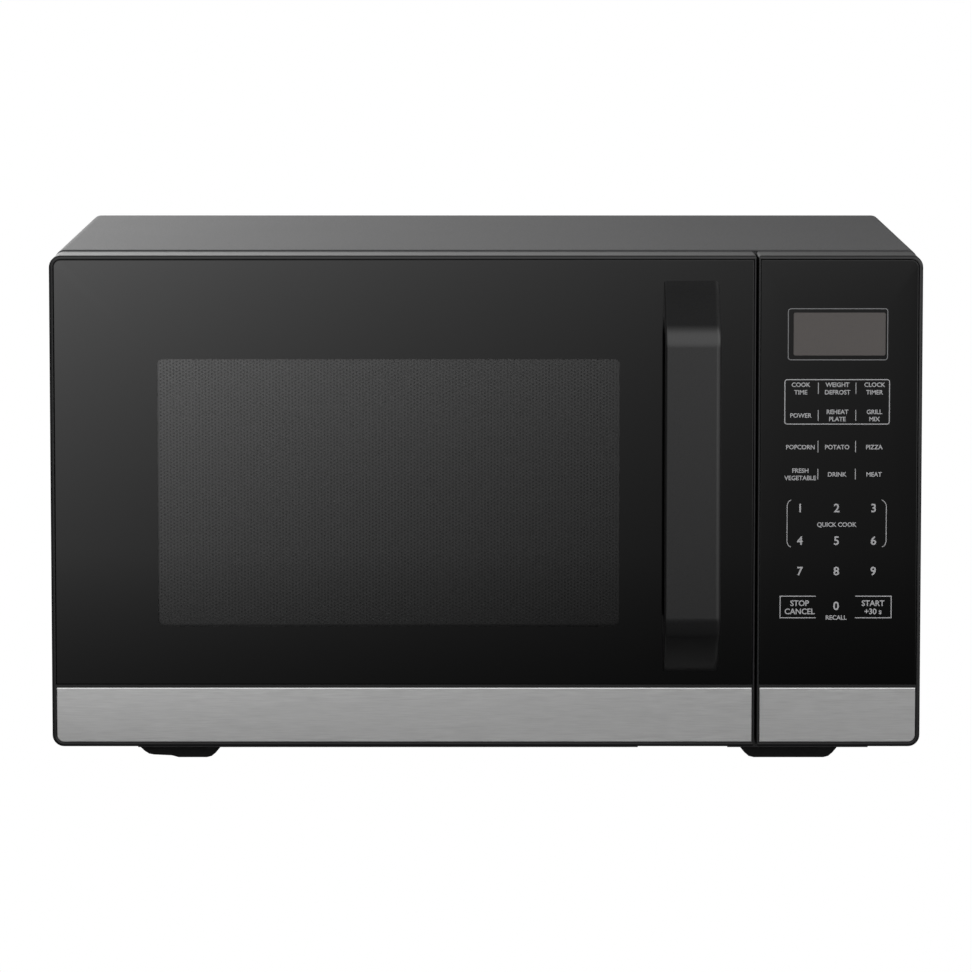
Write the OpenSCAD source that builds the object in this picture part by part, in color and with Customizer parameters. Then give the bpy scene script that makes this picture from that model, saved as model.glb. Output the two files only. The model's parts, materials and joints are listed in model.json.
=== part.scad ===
// Countertop microwave oven with a side-hinged glass door, a touch control panel and a turntable.
// Frame: +X to the user's right, +Y towards the back, +Z up.
// The origin is on the worktop, below the centre of the whole oven.

/* [Body] */
// Width across the door and control panel
body_w = 483; // [450:1:580]
// Height of the front fascia, without the feet
fascia_h = 274; // [228:1:330]
// Thickness of the door and of the control panel
fascia_t = 34; // [30:1:42]
// Depth of the sheet-metal cabinet behind the fascia
cabinet_d = 309; // [257:1:385]
// Height of the fascia's lower edge above the worktop
foot_h = 12; // [10:1:16]
// Radius of the fascia's outer corners
corner_r = 6.5; // [4:0.5:12]
// Thickness of the cabinet and cavity sheet
sheet_t = 0.8; // [0.6:0.1:1.2]
// Depth of the pressed spacers on the back
spacer_d = 8; // [4:1:14]

/* [Door] */
// Width of the control panel
panel_w = 91; // [88:1:110]
// Gap between the door and the control panel
door_gap = 1; // [0.8:0.1:2]
// Gap between the closed door and the cavity's face plate
seal_gap = 1; // [0.8:0.1:1.6]
// Width of the plastic lip round the glass
lip_w = 2.2; // [1.8:0.1:2.8]
// Width of that lip beside the gap between door and panel
gap_lip = 1.2; // [1:0.1:1.8]
// Thickness of the front glass
glass_t = 3.2; // [2.6:0.1:4.2]
// Height of the steel trim strip
trim_h = 30.5; // [24:0.5:36]
// Thickness of the steel trim strip
trim_t = 0.8; // [0.5:0.1:1.2]
// Distance from the window to the cavity's sides
window_side = 22; // [16:0.5:40]
// Distance from the window to the cavity's floor
window_below = 35.5; // [25:0.5:45]
// Distance from the window to the cavity's ceiling
window_above = 23.5; // [16:0.5:40]
// Radius of the hinge pins
pin_r = 2.5; // [2:0.1:3]

/* [Handle] */
// Distance from the door's lower edge to the handle
handle_below = 42; // [38:1:60]
// Distance from the door's upper edge to the handle
handle_above = 14; // [8:1:40]
// Width of the handle
handle_w = 31; // [24:1:34]
// Distance the handle stands out from the glass
handle_reach = 32; // [28:1:40]
// Thickness of the grip
handle_t = 9; // [7:1:11]

/* [Cavity] */
// Width of the machine bay, from the cavity to the right side
bay_w = 145.5; // [142:0.5:175]
// Height of the cavity floor above the worktop
floor_z = 44; // [41:1:50]
// Distance from the cavity's ceiling to the top of the fascia
ceiling_gap = 34; // [30:1:45]
// Space between the cavity's back wall and the rear panel
rear_gap = 16.5; // [10:0.5:40]
// Clearance between the glass tray and the cavity walls
tray_gap = 10; // [6:1:20]
// Radius of the tray's rollers
roller_r = 8; // [7:0.5:9]

/* [Controls] */
// Width of the display window
display_w = 51; // [40:1:58]
// Height of the display window
display_h = 24; // [18:1:30]
// Thickness of the keypad film behind the glass
film_t = 0.4; // [0.2:0.1:0.8]

/* [Hidden] */
$fn = 48;

// Planes and edges shared by the parts
half_w = body_w / 2;
total_d = handle_reach + fascia_t + seal_gap + cabinet_d + spacer_d;
y_front = handle_reach - total_d / 2;      // front of the fascia's lip
y_rear = y_front + fascia_t;               // back of the closed door
y_cab = y_rear + seal_gap;                 // front of the cabinet and face plate
y_back = y_cab + cabinet_d;                // back of the cabinet
z_low = foot_h;
z_top = foot_h + fascia_h;
door_x0 = -half_w;
door_x1 = half_w - panel_w - door_gap;
panel_x0 = half_w - panel_w;

// Fascia details
clear = 0.4;                               // groove round the glass and trim
recess = 0.3;                              // glass and trim sit this far behind the lip
web_t = 2.5;                               // plastic web behind the glass
y_glass = y_front + recess;
y_web = y_glass + glass_t;                 // back of the glass, front of the web
y_web_back = y_web + web_t;
edge = lip_w + clear;
gap_edge = gap_lip + clear;
trim_z0 = z_low + edge;
trim_z1 = trim_z0 + trim_h;
bar_z0 = trim_z1 + clear;
bar_z1 = bar_z0 + 1.3;                     // bar between trim and glass
glass_z0 = bar_z1 + clear;
glass_z1 = z_top - edge;
gap_corner_r = 1.5;                        // fascia corners beside the door gap

// Cabinet details
cover_inset = 1;                           // cabinet side stands this far inside the fascia
cover_rise = 0.8;                          // cabinet top stands this far above the fascia
cover_x = half_w - cover_inset;
cover_z1 = z_top + cover_rise;
cover_z0 = z_low + 1;
cover_r = corner_r - cover_inset;
plate_x = cover_x - sheet_t - 0.3;         // edge of the plates inside the cover
plate_z1 = cover_z1 - sheet_t - 0.3;
base_z = cover_z0 + sheet_t + 0.2;         // underside of the base sheet
base_pad = foot_h / 2;                     // height of the pressed pads above the worktop
rear_lip = 12;
y_inner = y_cab + sheet_t;                 // back of the face plate
y_panel = y_back - 2 * sheet_t;            // front of the rear panel

// Hinge
pivot_inset = 9;                           // pin to the door's outer edge
pivot_depth = 14;                          // pin to the back of the door
pin_clear = 0.05;
pivot_x = door_x0 + pivot_inset;
pivot_y = y_rear - pivot_depth;
boss_r = pin_r + 2.7;
boss_l = 12;
tongue_t = 2;
tongue_w = 12;
upper_tongue_z = z_top - 8;
lower_tongue_z = z_low + 8;

// Cavity
choke_w = 19;
choke_x0 = pivot_x + 9.5;
cav_x0 = choke_x0 + choke_w;
cav_x1 = half_w - bay_w;
cav_cx = (cav_x0 + cav_x1) / 2;
cav_z0 = floor_z;
cav_z1 = z_top - ceiling_gap;
cav_y1 = y_panel - rear_gap;
cav_cy = (y_cab + cav_y1) / 2;
cav_r = 8;
bay_x0 = cav_x1 + sheet_t;                 // machine bay, right of the cavity
bay_x1 = cover_x - sheet_t;

// Window
win_x0 = cav_x0 + window_side;
win_x1 = cav_x1 - window_side;
win_z0 = cav_z0 + window_below;
win_z1 = cav_z1 - window_above;

// Handle
handle_x = door_x1 - 35.7;                 // middle of the handle
handle_z0 = z_low + handle_below;
handle_z1 = z_top - handle_above;
handle_end = 34.5;                         // height of each bent end
handle_bend = 16;                          // outer radius of the bend
handle_foot = 20;                          // height of the foot on the glass
screw_r = 1.9;
screw_in = 7;                              // length of each screw in the handle
screw_z = [handle_z0 + handle_foot / 2, handle_z1 - handle_foot / 2];

// Latch
hook_t = 5;
hook_x = door_x1 - 16;                     // middle of the latch
hook_reach = 24;                           // hook past the back of the door
hook_h = 9;
catch_h = 5;
latch_travel = 5;
hook_z = [cav_z0 + 50, cav_z1 - 50];       // underside of each hook
latch_z0 = hook_z[0] - 8;
latch_z1 = hook_z[1] + 26;
latch_y0 = y_web_back + 0.2;
latch_y1 = latch_y0 + 14;
spring_l = 20;
spring_y = latch_y0 + 6;

// Display, measured from the control panel's middle
display_x = (panel_x0 + half_w) / 2 - 0.5;
display_z = z_top - 43.5;

// Turntable
tray_r = min(cav_x1 - cav_x0, cav_y1 - y_cab) / 2 - tray_gap;
track_r = tray_r - 38;                     // radius of the rollers' track
roller_w = 5;
axle_r = 2;
roll_gap = 0.05;                           // rollers stand this far from floor and tray
roller_z = cav_z0 + roller_r + roll_gap;
tray_z = roller_z + roller_r + roll_gap;   // underside of the tray
tray_t = 5;
tray_rim = 9;
coupler_r = 17;
shaft_r = 3.5;
lug_n = 3;
motor_r = 24.5;
motor_h = 16;

// Machine bay
wave_w = 26;
wave_y0 = cav_cy - 45;
wave_y1 = cav_cy + 50;
wave_z1 = cav_z1 - 14;
wave_z0 = wave_z1 - 72;
wave_x1 = bay_x0 + wave_w;
tube_y = wave_y0 + 52;                     // axis of the magnetron
tube_z = (wave_z0 + wave_z1) / 2;
fan_r = 42;
fan_x = (bay_x0 + bay_x1) / 2 + 14;
fan_z = cav_z1 - fan_r - 16;
fan_y = y_panel - 42;                      // front of the fan's shroud

// ---------- helpers ----------

// Extrudes an outline drawn in X and Z from y0 to y1
module along_y(y0, y1) {
    translate([0, y1, 0]) rotate([90, 0, 0]) linear_extrude(y1 - y0) children();
}

// Extrudes an outline drawn in Y and Z from x0 to x1
module along_x(x0, x1) {
    translate([x0, 0, 0]) rotate([90, 0, 90]) linear_extrude(x1 - x0) children();
}

// Extrudes an outline drawn in X and Y from z0 to z1
module along_z(z0, z1) {
    translate([0, 0, z0]) linear_extrude(z1 - z0) children();
}

module block(a, b) {
    translate(a) cube(b - a);
}

// Cylinders between two planes, about an axis along Y or X
module rod_y(x, z, r, y0, y1) {
    translate([x, y1, z]) rotate([90, 0, 0]) cylinder(r = r, h = y1 - y0);
}

module rod_x(y, z, r, x0, x1) {
    translate([x0, y, z]) rotate([0, 90, 0]) cylinder(r = r, h = x1 - x0);
}

// Rectangle with its own radius at the lower left, lower right, upper right and upper left corner
module rounded(x0, z0, x1, z1, r = [0, 0, 0, 0]) {
    polygon([
        [x0 + r[0], z0], [x1 - r[1], z0], [x1, z0 + r[1]], [x1, z1 - r[2]],
        [x1 - r[2], z1], [x0 + r[3], z1], [x0, z1 - r[3]], [x0, z0 + r[0]]
    ]);
    if (r[0] > 0) translate([x0 + r[0], z0 + r[0]]) circle(r[0]);
    if (r[1] > 0) translate([x1 - r[1], z0 + r[1]]) circle(r[1]);
    if (r[2] > 0) translate([x1 - r[2], z1 - r[2]]) circle(r[2]);
    if (r[3] > 0) translate([x0 + r[3], z1 - r[3]]) circle(r[3]);
}

function same(r) = [r, r, r, r];

// Points on an arc from angle a0 to a1
function arc(cx, cy, r, a0, a1, n = 10) =
    [for (i = [0:n]) let (a = a0 + (a1 - a0) * i / n) [cx + r * cos(a), cy + r * sin(a)]];

function less(r, inset) = max(r - inset, 0);

// Outlines of the two mouldings, moved inwards, with another amount beside the gap
module door_outline(inset, gap_inset) {
    rounded(door_x0 + inset, z_low + inset, door_x1 - gap_inset, z_top - inset,
            [less(corner_r, inset), less(gap_corner_r, inset), less(gap_corner_r, inset), less(corner_r, inset)]);
}

module panel_outline(inset, gap_inset) {
    rounded(panel_x0 + gap_inset, z_low + inset, half_w - inset, z_top - inset,
            [less(gap_corner_r, inset), less(corner_r, inset), less(corner_r, inset), less(gap_corner_r, inset)]);
}

module window_outline(grow, r = 3) {
    rounded(win_x0 - grow, win_z0 - grow, win_x1 + grow, win_z1 + grow, same(r));
}

// Rows of upright vent slots in the plane of an outline
module slots(x0, z0, columns, rows, pitch_x = 6, pitch_z = 20, slot = [2.6, 14]) {
    for (i = [0:columns - 1], j = [0:rows - 1])
        translate([x0 + i * pitch_x, z0 + j * pitch_z]) square(slot);
}

// ---------- door ----------

// Everything in the hinge corner that would swing into the face plate or meet a hinge tongue
module hinge_corner_cut() {
    swing_r = pivot_depth + seal_gap / 2;
    difference() {
        block([door_x0 - 1, pivot_y, z_low - 1], [pivot_x, y_rear + 1, z_top + 1]);
        translate([pivot_x, pivot_y, z_low - 2]) cylinder(r = swing_r, h = fascia_h + 4);
    }
    for (z = [upper_tongue_z, lower_tongue_z])
        block([door_x0 - 1, pivot_y - tongue_w * 0.8, z - 1.5],
              [pivot_x + tongue_w * 0.7, y_rear + 1, z + tongue_t + 1.5]);
}

module hinge_bosses() {
    for (z = [upper_tongue_z - 0.5 - boss_l, lower_tongue_z + tongue_t + 0.2]) {
        translate([pivot_x, pivot_y, z]) cylinder(r = boss_r, h = boss_l);
        block([pivot_x - 2, y_web, z], [pivot_x + 2, pivot_y, z + boss_l]);
    }
}

// Channel the latch slides in, with a ledge below it and a stop for its spring above
module latch_guides() {
    side = hook_t / 2 + 0.1;
    for (s = [-1, 1])
        block([hook_x + (s > 0 ? side : -side - 1.5), y_web, latch_z0 - 2],
              [hook_x + (s > 0 ? side + 1.5 : -side), latch_y1 - 2, latch_z1 + spring_l + 2]);
    for (z = [latch_z0 - 2, latch_z1 + spring_l])
        block([hook_x - side - 1.5, y_web, z], [hook_x + side + 1.5, latch_y1 - 2, z + 2]);
}

module handle_holes(r, y0, y1) {
    for (z = screw_z) rod_y(handle_x, z, r, y0, y1);
}

module door_frame() {
    color([0.07, 0.07, 0.075])
    difference() {
        union() {
            along_y(y_front, y_rear) difference() {
                door_outline(0, 0);
                door_outline(lip_w, gap_lip);
            }
            along_y(y_web, y_web_back) difference() {
                door_outline(lip_w / 2, gap_lip / 2);
                window_outline(4);
            }
            along_y(y_glass + trim_t, y_web + 0.5) intersection() {
                door_outline(lip_w / 2, gap_lip / 2);
                rounded(door_x0, z_low, door_x1, bar_z1);
            }
            block([door_x0 + lip_w / 2, y_front + 0.1, bar_z0], [door_x1 - gap_lip / 2, y_web + 0.5, bar_z1]);
            hinge_bosses();
            latch_guides();
        }
        hinge_corner_cut();
        translate([pivot_x, pivot_y, z_low + 3]) cylinder(r = pin_r + pin_clear, h = fascia_h - 6);
        handle_holes(screw_r + 0.5, y_front, y_rear);
    }
}

module door_glass() {
    color([0.04, 0.04, 0.045])
    difference() {
        along_y(y_glass, y_web)
            rounded(door_x0 + edge, glass_z0, door_x1 - gap_edge, glass_z1, [0, 0, 0, less(corner_r, edge)]);
        handle_holes(screw_r + 0.5, y_front, y_web + 1);
    }
}

module door_trim() {
    color([0.62, 0.62, 0.61])
    along_y(y_glass, y_glass + trim_t)
        rounded(door_x0 + edge, trim_z0, door_x1 - gap_edge, trim_z1, [less(corner_r, edge), 0, 0, 0]);
}

// Side view of the handle: distance out from the glass, then height
function handle_side() = let (
        mid = handle_reach + recess - handle_bend,
        inner = handle_bend - handle_t,
        lean = atan2(handle_end, -mid) - acos(handle_bend / norm([mid, handle_end])))
    concat(
        [[0, handle_z1]],
        arc(mid, handle_z1 - handle_end, handle_bend, lean, 0),
        arc(mid, handle_z0 + handle_end, handle_bend, 0, -lean),
        [[0, handle_z0], [0, handle_z0 + handle_foot]],
        arc(mid, handle_z0 + handle_end, inner, -lean, 0),
        arc(mid, handle_z1 - handle_end, inner, 0, lean),
        [[0, handle_z1 - handle_foot]]);

module door_handle() {
    color([0.13, 0.13, 0.135])
    difference() {
        along_x(handle_x - handle_w / 2, handle_x + handle_w / 2)
            polygon([for (p = handle_side()) [y_glass - p[0], p[1]]]);
        handle_holes(screw_r, y_glass - screw_in - 0.5, y_glass + 1);
    }
}

module handle_screws() {
    color([0.7, 0.7, 0.7])
    for (z = screw_z) {
        rod_y(handle_x, z, screw_r, y_glass - screw_in, y_web_back);
        rod_y(handle_x, z, 4, y_web_back, y_web_back + 2.4);
    }
}

module door_screen() {
    color([0.2, 0.2, 0.21])
    along_y(y_web_back, y_web_back + 0.5) window_outline(8);
}

module choke_outline(inset) {
    rounded(choke_x0 + inset, cav_z0 - choke_w + inset, cav_x1 + choke_w - inset, cav_z1 + choke_w - inset,
            same(less(4, inset)));
}

module cavity_outline(inset) {
    rounded(cav_x0 + inset, cav_z0 + inset, cav_x1 - inset, cav_z1 - inset, same(less(cav_r, inset)));
}

module door_panel() {
    y0 = y_web_back + 0.5;
    color([0.55, 0.56, 0.57])
    difference() {
        union() {
            along_y(y0, y0 + 1) choke_outline(0);
            along_y(y0 + 1, y_rear - 2.7) difference() {
                choke_outline(0);
                choke_outline(1);
            }
            along_y(y0 + 1, y_rear - 5) difference() {
                cavity_outline(0);
                cavity_outline(1);
            }
        }
        along_y(y0 - 1, y0 + 2) window_outline(3);
        handle_holes(5, y0 - 1, y_rear);
    }
}

module inner_window() {
    color([0.75, 0.78, 0.8, 0.4])
    along_y(y_web_back + 1.5, y_web_back + 2.3) window_outline(10);
}

module hook_slots(y0, y1) {
    for (z = hook_z)
        block([hook_x - hook_t / 2 - 1.5, y0, z - catch_h - 1.5],
              [hook_x + hook_t / 2 + 3.5, y1, z + hook_h + latch_travel + 1.5]);
}

module choke_cover() {
    color([0.16, 0.16, 0.165])
    difference() {
        union() {
            along_y(y_rear - 2.5, y_rear)
                rounded(choke_x0 + 0.5, z_low + lip_w + 0.4, door_x1 - gap_lip - 0.3, z_top - lip_w - 0.4, same(2));
            along_y(y_web_back + 2.3, y_rear - 1) window_outline(4);
        }
        along_y(y_web_back + 2, y_rear + 1) window_outline(2.4);
        hook_slots(y_rear - 4, y_rear + 1);
    }
}

module latch_hook() {
    tip = y_rear + hook_reach;
    color([0.9, 0.9, 0.88])
    along_x(hook_x - hook_t / 2, hook_x + hook_t / 2)
    union() {
        translate([latch_y0, latch_z0]) square([latch_y1 - latch_y0, latch_z1 - latch_z0]);
        for (z = hook_z)
            polygon([
                [latch_y1 - 2, z], [tip - 8, z], [tip - 8, z - catch_h], [tip - 4, z - catch_h],
                [tip, z + 2], [tip, z + hook_h - 3], [tip - 3, z + hook_h], [latch_y1 - 2, z + hook_h]
            ]);
    }
}

// Round wire wound as a helix, as one closed mesh
module coil(radius, wire, height, turns, steps = 12, sides = 6) {
    n = turns * steps;
    ring_points = [
        for (i = [0:n], k = [0:sides - 1])
            let (a = 360 * i / steps, b = 360 * k / sides, r = radius + wire * cos(b))
            [r * cos(a), r * sin(a), wire + (height - 2 * wire) * i / n + wire * sin(b)]
    ];
    tube = [
        for (i = [0:n - 1], k = [0:sides - 1])
            let (a = i * sides + k, b = i * sides + (k + 1) % sides)
            [a, b, b + sides, a + sides]
    ];
    ends = [[for (k = [sides - 1:-1:0]) k], [for (k = [0:sides - 1]) n * sides + k]];
    polyhedron(points = ring_points, faces = concat([for (f = tube) [f[3], f[2], f[1], f[0]]],
                                                    [for (e = ends) [for (j = [sides - 1:-1:0]) e[j]]]));
}

module latch_spring() {
    color([0.75, 0.75, 0.76])
    translate([hook_x, spring_y, latch_z1 + 0.1]) coil(hook_t / 2 - 0.6, 0.5, spring_l - 0.2, 7);
}

// ---------- control panel ----------

module panel_housing() {
    color([0.07, 0.07, 0.075])
    difference() {
        union() {
            along_y(y_front, y_cab) difference() {
                panel_outline(0, 0);
                panel_outline(lip_w, gap_lip);
            }
            along_y(y_web, y_web_back) difference() {
                panel_outline(lip_w / 2, gap_lip / 2);
                display_outline(1);
            }
            along_y(y_glass + trim_t, y_web + 0.5) intersection() {
                panel_outline(lip_w / 2, gap_lip / 2);
                rounded(panel_x0, z_low, half_w, bar_z1);
            }
            block([panel_x0 + gap_lip / 2, y_front + 0.1, bar_z0], [half_w - lip_w / 2, y_web + 0.5, bar_z1]);
            board_posts(3.5, y_web, board_y);
        }
        board_posts(1.2, board_y - 4, board_y + 1);
    }
}

board_y = y_web_back + 9;                  // front of the control board
board_t = 1.6;
board_x0 = panel_x0 + lip_w + 4;
board_x1 = half_w - lip_w - 4;
board_z0 = z_low + 58;
board_z1 = z_top - 12;

module board_posts(r, y0, y1) {
    for (x = [board_x0 + 5, board_x1 - 5], z = [board_z0 + 5, board_z1 - 5]) rod_y(x, z, r, y0, y1);
}

module display_outline(grow) {
    rounded(display_x - display_w / 2 - grow, display_z - display_h / 2 - grow,
            display_x + display_w / 2 + grow, display_z + display_h / 2 + grow, same(1));
}

module panel_glass() {
    color([0.04, 0.04, 0.045])
    along_y(y_glass, y_web - film_t) difference() {
        rounded(panel_x0 + gap_edge, glass_z0, half_w - edge, glass_z1, [0, 0, less(corner_r, edge), 0]);
        display_outline(0);
    }
}

module display_lens() {
    color([0.32, 0.3, 0.29])
    along_y(y_glass + 0.1, y_web - film_t) display_outline(-0.1);
}

module keypad_film() {
    color([0.25, 0.26, 0.25])
    along_y(y_web - film_t, y_web) difference() {
        rounded(panel_x0 + edge + 3, glass_z0 + 6, half_w - edge - 3, glass_z1 - 8);
        display_outline(1);
    }
}

module display_module() {
    color([0.1, 0.1, 0.1])
    along_y(y_web - film_t, board_y) display_outline(-0.5);
}

module panel_trim() {
    color([0.62, 0.62, 0.61])
    along_y(y_glass, y_glass + trim_t)
        rounded(panel_x0 + gap_edge, trim_z0, half_w - edge, trim_z1, [0, less(corner_r, edge), 0, 0]);
}

module control_board() {
    color([0.1, 0.32, 0.16])
    difference() {
        block([board_x0, board_y, board_z0], [board_x1, board_y + board_t, board_z1]);
        board_posts(1.6, board_y - 1, board_y + board_t + 1);
    }
}

module board_screws() {
    color([0.75, 0.75, 0.76]) {
        board_posts(1.15, board_y - 3.5, board_y + board_t);
        board_posts(2.6, board_y + board_t, board_y + board_t + 1.8);
    }
}

// Relays, supply transformer, buzzer, processor and connectors on the back of the control board
module board_components() {
    y0 = board_y + board_t;
    relay_z = board_z0 + 20;
    relay_gap = 4;
    relay_w = (board_x1 - board_x0 - 16 - 2 * relay_gap) / 3;
    color([0.15, 0.15, 0.17]) {
        for (i = [0:2])
            translate([board_x0 + 8 + (relay_w + relay_gap) * i, y0, relay_z]) cube([relay_w, 15, 15]);
        block([board_x0 + 10, y0, relay_z + 30], [board_x0 + 44, y0 + 14, relay_z + 62]);
        rod_y(board_x1 - 14, relay_z + 46, 7, y0, y0 + 9);
        block([board_x0 + 20, y0, board_z1 - 62], [board_x0 + 50, y0 + 3, board_z1 - 48]);
        for (i = [0:1])
            block([board_x0 + 12 + 28 * i, y0, board_z1 - 32], [board_x0 + 34 + 28 * i, y0 + 8, board_z1 - 26]);
        for (i = [0:2]) rod_y(board_x1 - 12, relay_z + 68 + 12 * i, 4, y0, y0 + 12);
    }
}

// ---------- cabinet ----------

module cover_outline(inset, z0) {
    rounded(-cover_x + inset, z0, cover_x - inset, cover_z1 - inset, [0, 0, less(cover_r, inset), less(cover_r, inset)]);
}

vent_y = y_back - 96;
vent_z = z_low + 66;

module cabinet_cover() {
    color([0.2, 0.2, 0.205])
    difference() {
        union() {
            along_y(y_cab, y_back) difference() {
                cover_outline(0, cover_z0);
                cover_outline(sheet_t, cover_z0 - 1);
            }
            along_y(y_back - sheet_t, y_back) difference() {
                cover_outline(0, cover_z0);
                rounded(-cover_x + rear_lip, cover_z0 - 1, cover_x - rear_lip, cover_z1 - rear_lip);
            }
            for (s = [-1, 1])
                block([s > 0 ? cover_x - 10 : -cover_x, y_cab, cover_z0],
                      [s > 0 ? cover_x : -cover_x + 10, y_back, cover_z0 + sheet_t]);
        }
        along_x(-cover_x - 1, cover_x + 1) slots(vent_y, vent_z, 12, 4);
        rear_screw_holes(2.1, y_back - sheet_t - 1, y_back + 1);
    }
}

screw_places = [
    [-cover_x * 0.8, cover_z1 - rear_lip / 2], [0, cover_z1 - rear_lip / 2], [cover_x * 0.8, cover_z1 - rear_lip / 2],
    [-cover_x + rear_lip / 2, z_low + 40], [cover_x - rear_lip / 2, z_low + 40],
    [-cover_x + rear_lip / 2, z_top - 70], [cover_x - rear_lip / 2, z_top - 70]
];

module rear_screw_holes(r, y0, y1) {
    for (p = screw_places) rod_y(p[0], p[1], r, y0, y1);
}

module cover_screws() {
    color([0.5, 0.5, 0.52])
    for (p = screw_places) {
        rod_y(p[0], p[1], 1.9, y_panel - 5, y_back);
        difference() {
            rod_y(p[0], p[1], 4, y_back, y_back + 2.2);
            for (a = [0, 90])
                translate([p[0], y_back + 2.2, p[1]]) rotate([0, a, 0]) cube([4.4, 2, 0.9], center = true);
        }
    }
}

// Pressed pads below the base sheet: their sides across the oven, then from front to back
pads_x = [[-196, 85.5], [136, 215]];
pads_y = [[y_cab + 2, y_cab + 42], [y_back - 60, y_back - 20]];
foot_l = 26;
foot_w = [45.5, 55];                       // widths of the left and right feet
foot_slope = 7.8;                          // width of a foot's sloping side
foot_step_w = 10;

module base_plate() {
    base_y0 = y_inner + 0.2;
    base_y1 = y_panel - 0.2;
    color([0.6, 0.61, 0.62])
    difference() {
        union() {
            block([-plate_x, base_y0, base_z], [plate_x, base_y1, base_z + sheet_t]);
            for (s = [-1, 1])
                block([s > 0 ? plate_x - sheet_t : -plate_x, base_y0, base_z],
                      [s > 0 ? plate_x : -plate_x + sheet_t, base_y1, base_z + 10]);
            for (p = pads_x, q = pads_y) block([p[0], q[0], base_pad], [p[1], q[1], base_z + sheet_t / 2]);
        }
        for (p = pads_x, q = pads_y)
            block([p[0] + sheet_t, q[0] + sheet_t, base_pad + sheet_t],
                  [p[1] - sheet_t, q[1] - sheet_t, base_z + 2 * sheet_t]);
        along_z(base_z - 1, base_z + 2) slots(pads_x[1][0] + 10, trafo_y0 + trafo[1] + 16, 9, 3);
    }
}

module rear_panel() {
    color([0.6, 0.61, 0.62])
    difference() {
        along_y(y_panel, y_back - sheet_t)
            rounded(-plate_x, base_z + sheet_t + 0.2, plate_x, plate_z1, [0, 0, cover_r - 1.1, cover_r - 1.1]);
        rear_screw_holes(2.1, y_panel - 1, y_back);
        along_y(y_panel - 1, y_back) slots(fan_x - 36, fan_z - 38, 13, 4);
        rod_y(gland_x, gland_z, gland_r, y_panel - 1, y_back);
    }
}

// Plastic stops that keep the back clear of a wall
module rear_spacers() {
    color([0.05, 0.05, 0.05])
    for (x = [-150, 60]) {
        rod_y(x, z_top - 60, 11, y_back - sheet_t, y_back + 1.5);
        rod_y(x, z_top - 60, 8, y_back, y_back + spacer_d);
    }
}

gland_x = cover_x - 40;
gland_z = z_low + 50;
gland_r = 7;
cord_r = 4;

// Bush in the rear panel that the mains lead passes through
module cord_gland() {
    color([0.05, 0.05, 0.05])
    difference() {
        union() {
            rod_y(gland_x, gland_z, gland_r, y_panel - 5, y_back + 2);
            rod_y(gland_x, gland_z, gland_r + 2.5, y_back - sheet_t, y_back + 2);
            rod_y(gland_x, gland_z, gland_r + 2, y_panel - 5, y_panel);
        }
        rod_y(gland_x, gland_z, cord_r, y_panel - 6, y_back + 3);
    }
}

module face_plate() {
    color([0.42, 0.43, 0.44])
    along_y(y_cab, y_inner) difference() {
        rounded(-plate_x, cover_z0 + 3, plate_x, plate_z1, [0, 0, cover_r - 1.1, cover_r - 1.1]);
        cavity_outline(0);
        for (z = [upper_tongue_z, lower_tongue_z])
            translate([pivot_x - tongue_w / 2 - 0.5, z - 0.5]) square([tongue_w + 1, tongue_t + 1]);
        for (z = hook_z)
            translate([hook_x - hook_t / 2 - 1.5, z - catch_h - 1.5])
                square([hook_t + 5, hook_h + catch_h + latch_travel + 3]);
        rounded(panel_x0 + 14, z_low + 70, half_w - 14, z_top - 40, same(4));
        for (z = hinge_screw_z) translate([hinge_screw_x, z]) circle(2.1);
    }
}

port_y = [wave_y0 + 12, wave_y1 - 22];
port_z = [wave_z0 + 10, wave_z1 - 16];
lamp_y = y_inner + 54;
lamp_z = cav_z1 - 26;

// Floor, walls and ceiling of the cavity, bent from one sheet
module cavity_wrap() {
    color([0.5, 0.51, 0.52])
    difference() {
        along_y(y_inner, cav_y1) difference() {
            cavity_outline(-sheet_t);
            cavity_outline(0);
        }
        translate([cav_cx, cav_cy, cav_z0 - sheet_t - 1]) cylinder(r = shaft_r + 3, h = sheet_t + 2);
        along_x(cav_x1 - 1, cav_x1 + sheet_t + 1) {
            translate([port_y[0], port_z[0]]) square([port_y[1] - port_y[0], port_z[1] - port_z[0]]);
            for (i = [0:4], j = [0:3]) translate([lamp_y - 12 + 6 * i, lamp_z - 9 + 6 * j]) circle(1.6);
        }
        along_x(cav_x0 - sheet_t - 1, cav_x0 + 1)
            for (i = [0:9], j = [0:2]) translate([cav_y1 - 80 + 6 * i, cav_z1 - 50 + 6 * j]) circle(1.6);
    }
}

module cavity_back() {
    color([0.5, 0.51, 0.52])
    difference() {
        along_y(cav_y1, cav_y1 + sheet_t) cavity_outline(-sheet_t);
        for (s = [-1, 1]) rod_y(cav_cx + s * grill_w / 2, grill_z, grill_r + 0.3, cav_y1 - 1, cav_y1 + 2);
    }
}

// One sloping side of a foot, from its top to the worktop or to a step above it
function foot_side(x, toward, low) = [
    for (p = [[0, 1], [0.35, 0.45], [0.65, 0.12], [1, 0]])
        [x + toward * p[0] * foot_slope, low + p[1] * (base_pad - low)]
];

// Outline of a foot seen from the front; step raises its outer part above the worktop
module foot_outline(x0, x1, step) {
    x_step = x0 + foot_slope + foot_step_w;
    polygon(concat(
        foot_side(x0, 1, step),
        step > 0 ? [[x_step, step * 0.7], [x_step + 4, 0]] : [],
        [for (i = [3:-1:0]) foot_side(x1, -1, 0)[i]]
    ));
}

module feet() {
    color([0.05, 0.05, 0.05])
    for (q = pads_y) {
        y0 = q[0] + 1;
        along_y(y0, y0 + foot_l) {
            foot_outline(pads_x[0][0] + 1, pads_x[0][0] + 1 + foot_w[0], 1.5);
            foot_outline(pads_x[1][0] + 7, pads_x[1][0] + 7 + foot_w[1], 0);
        }
    }
}

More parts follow.
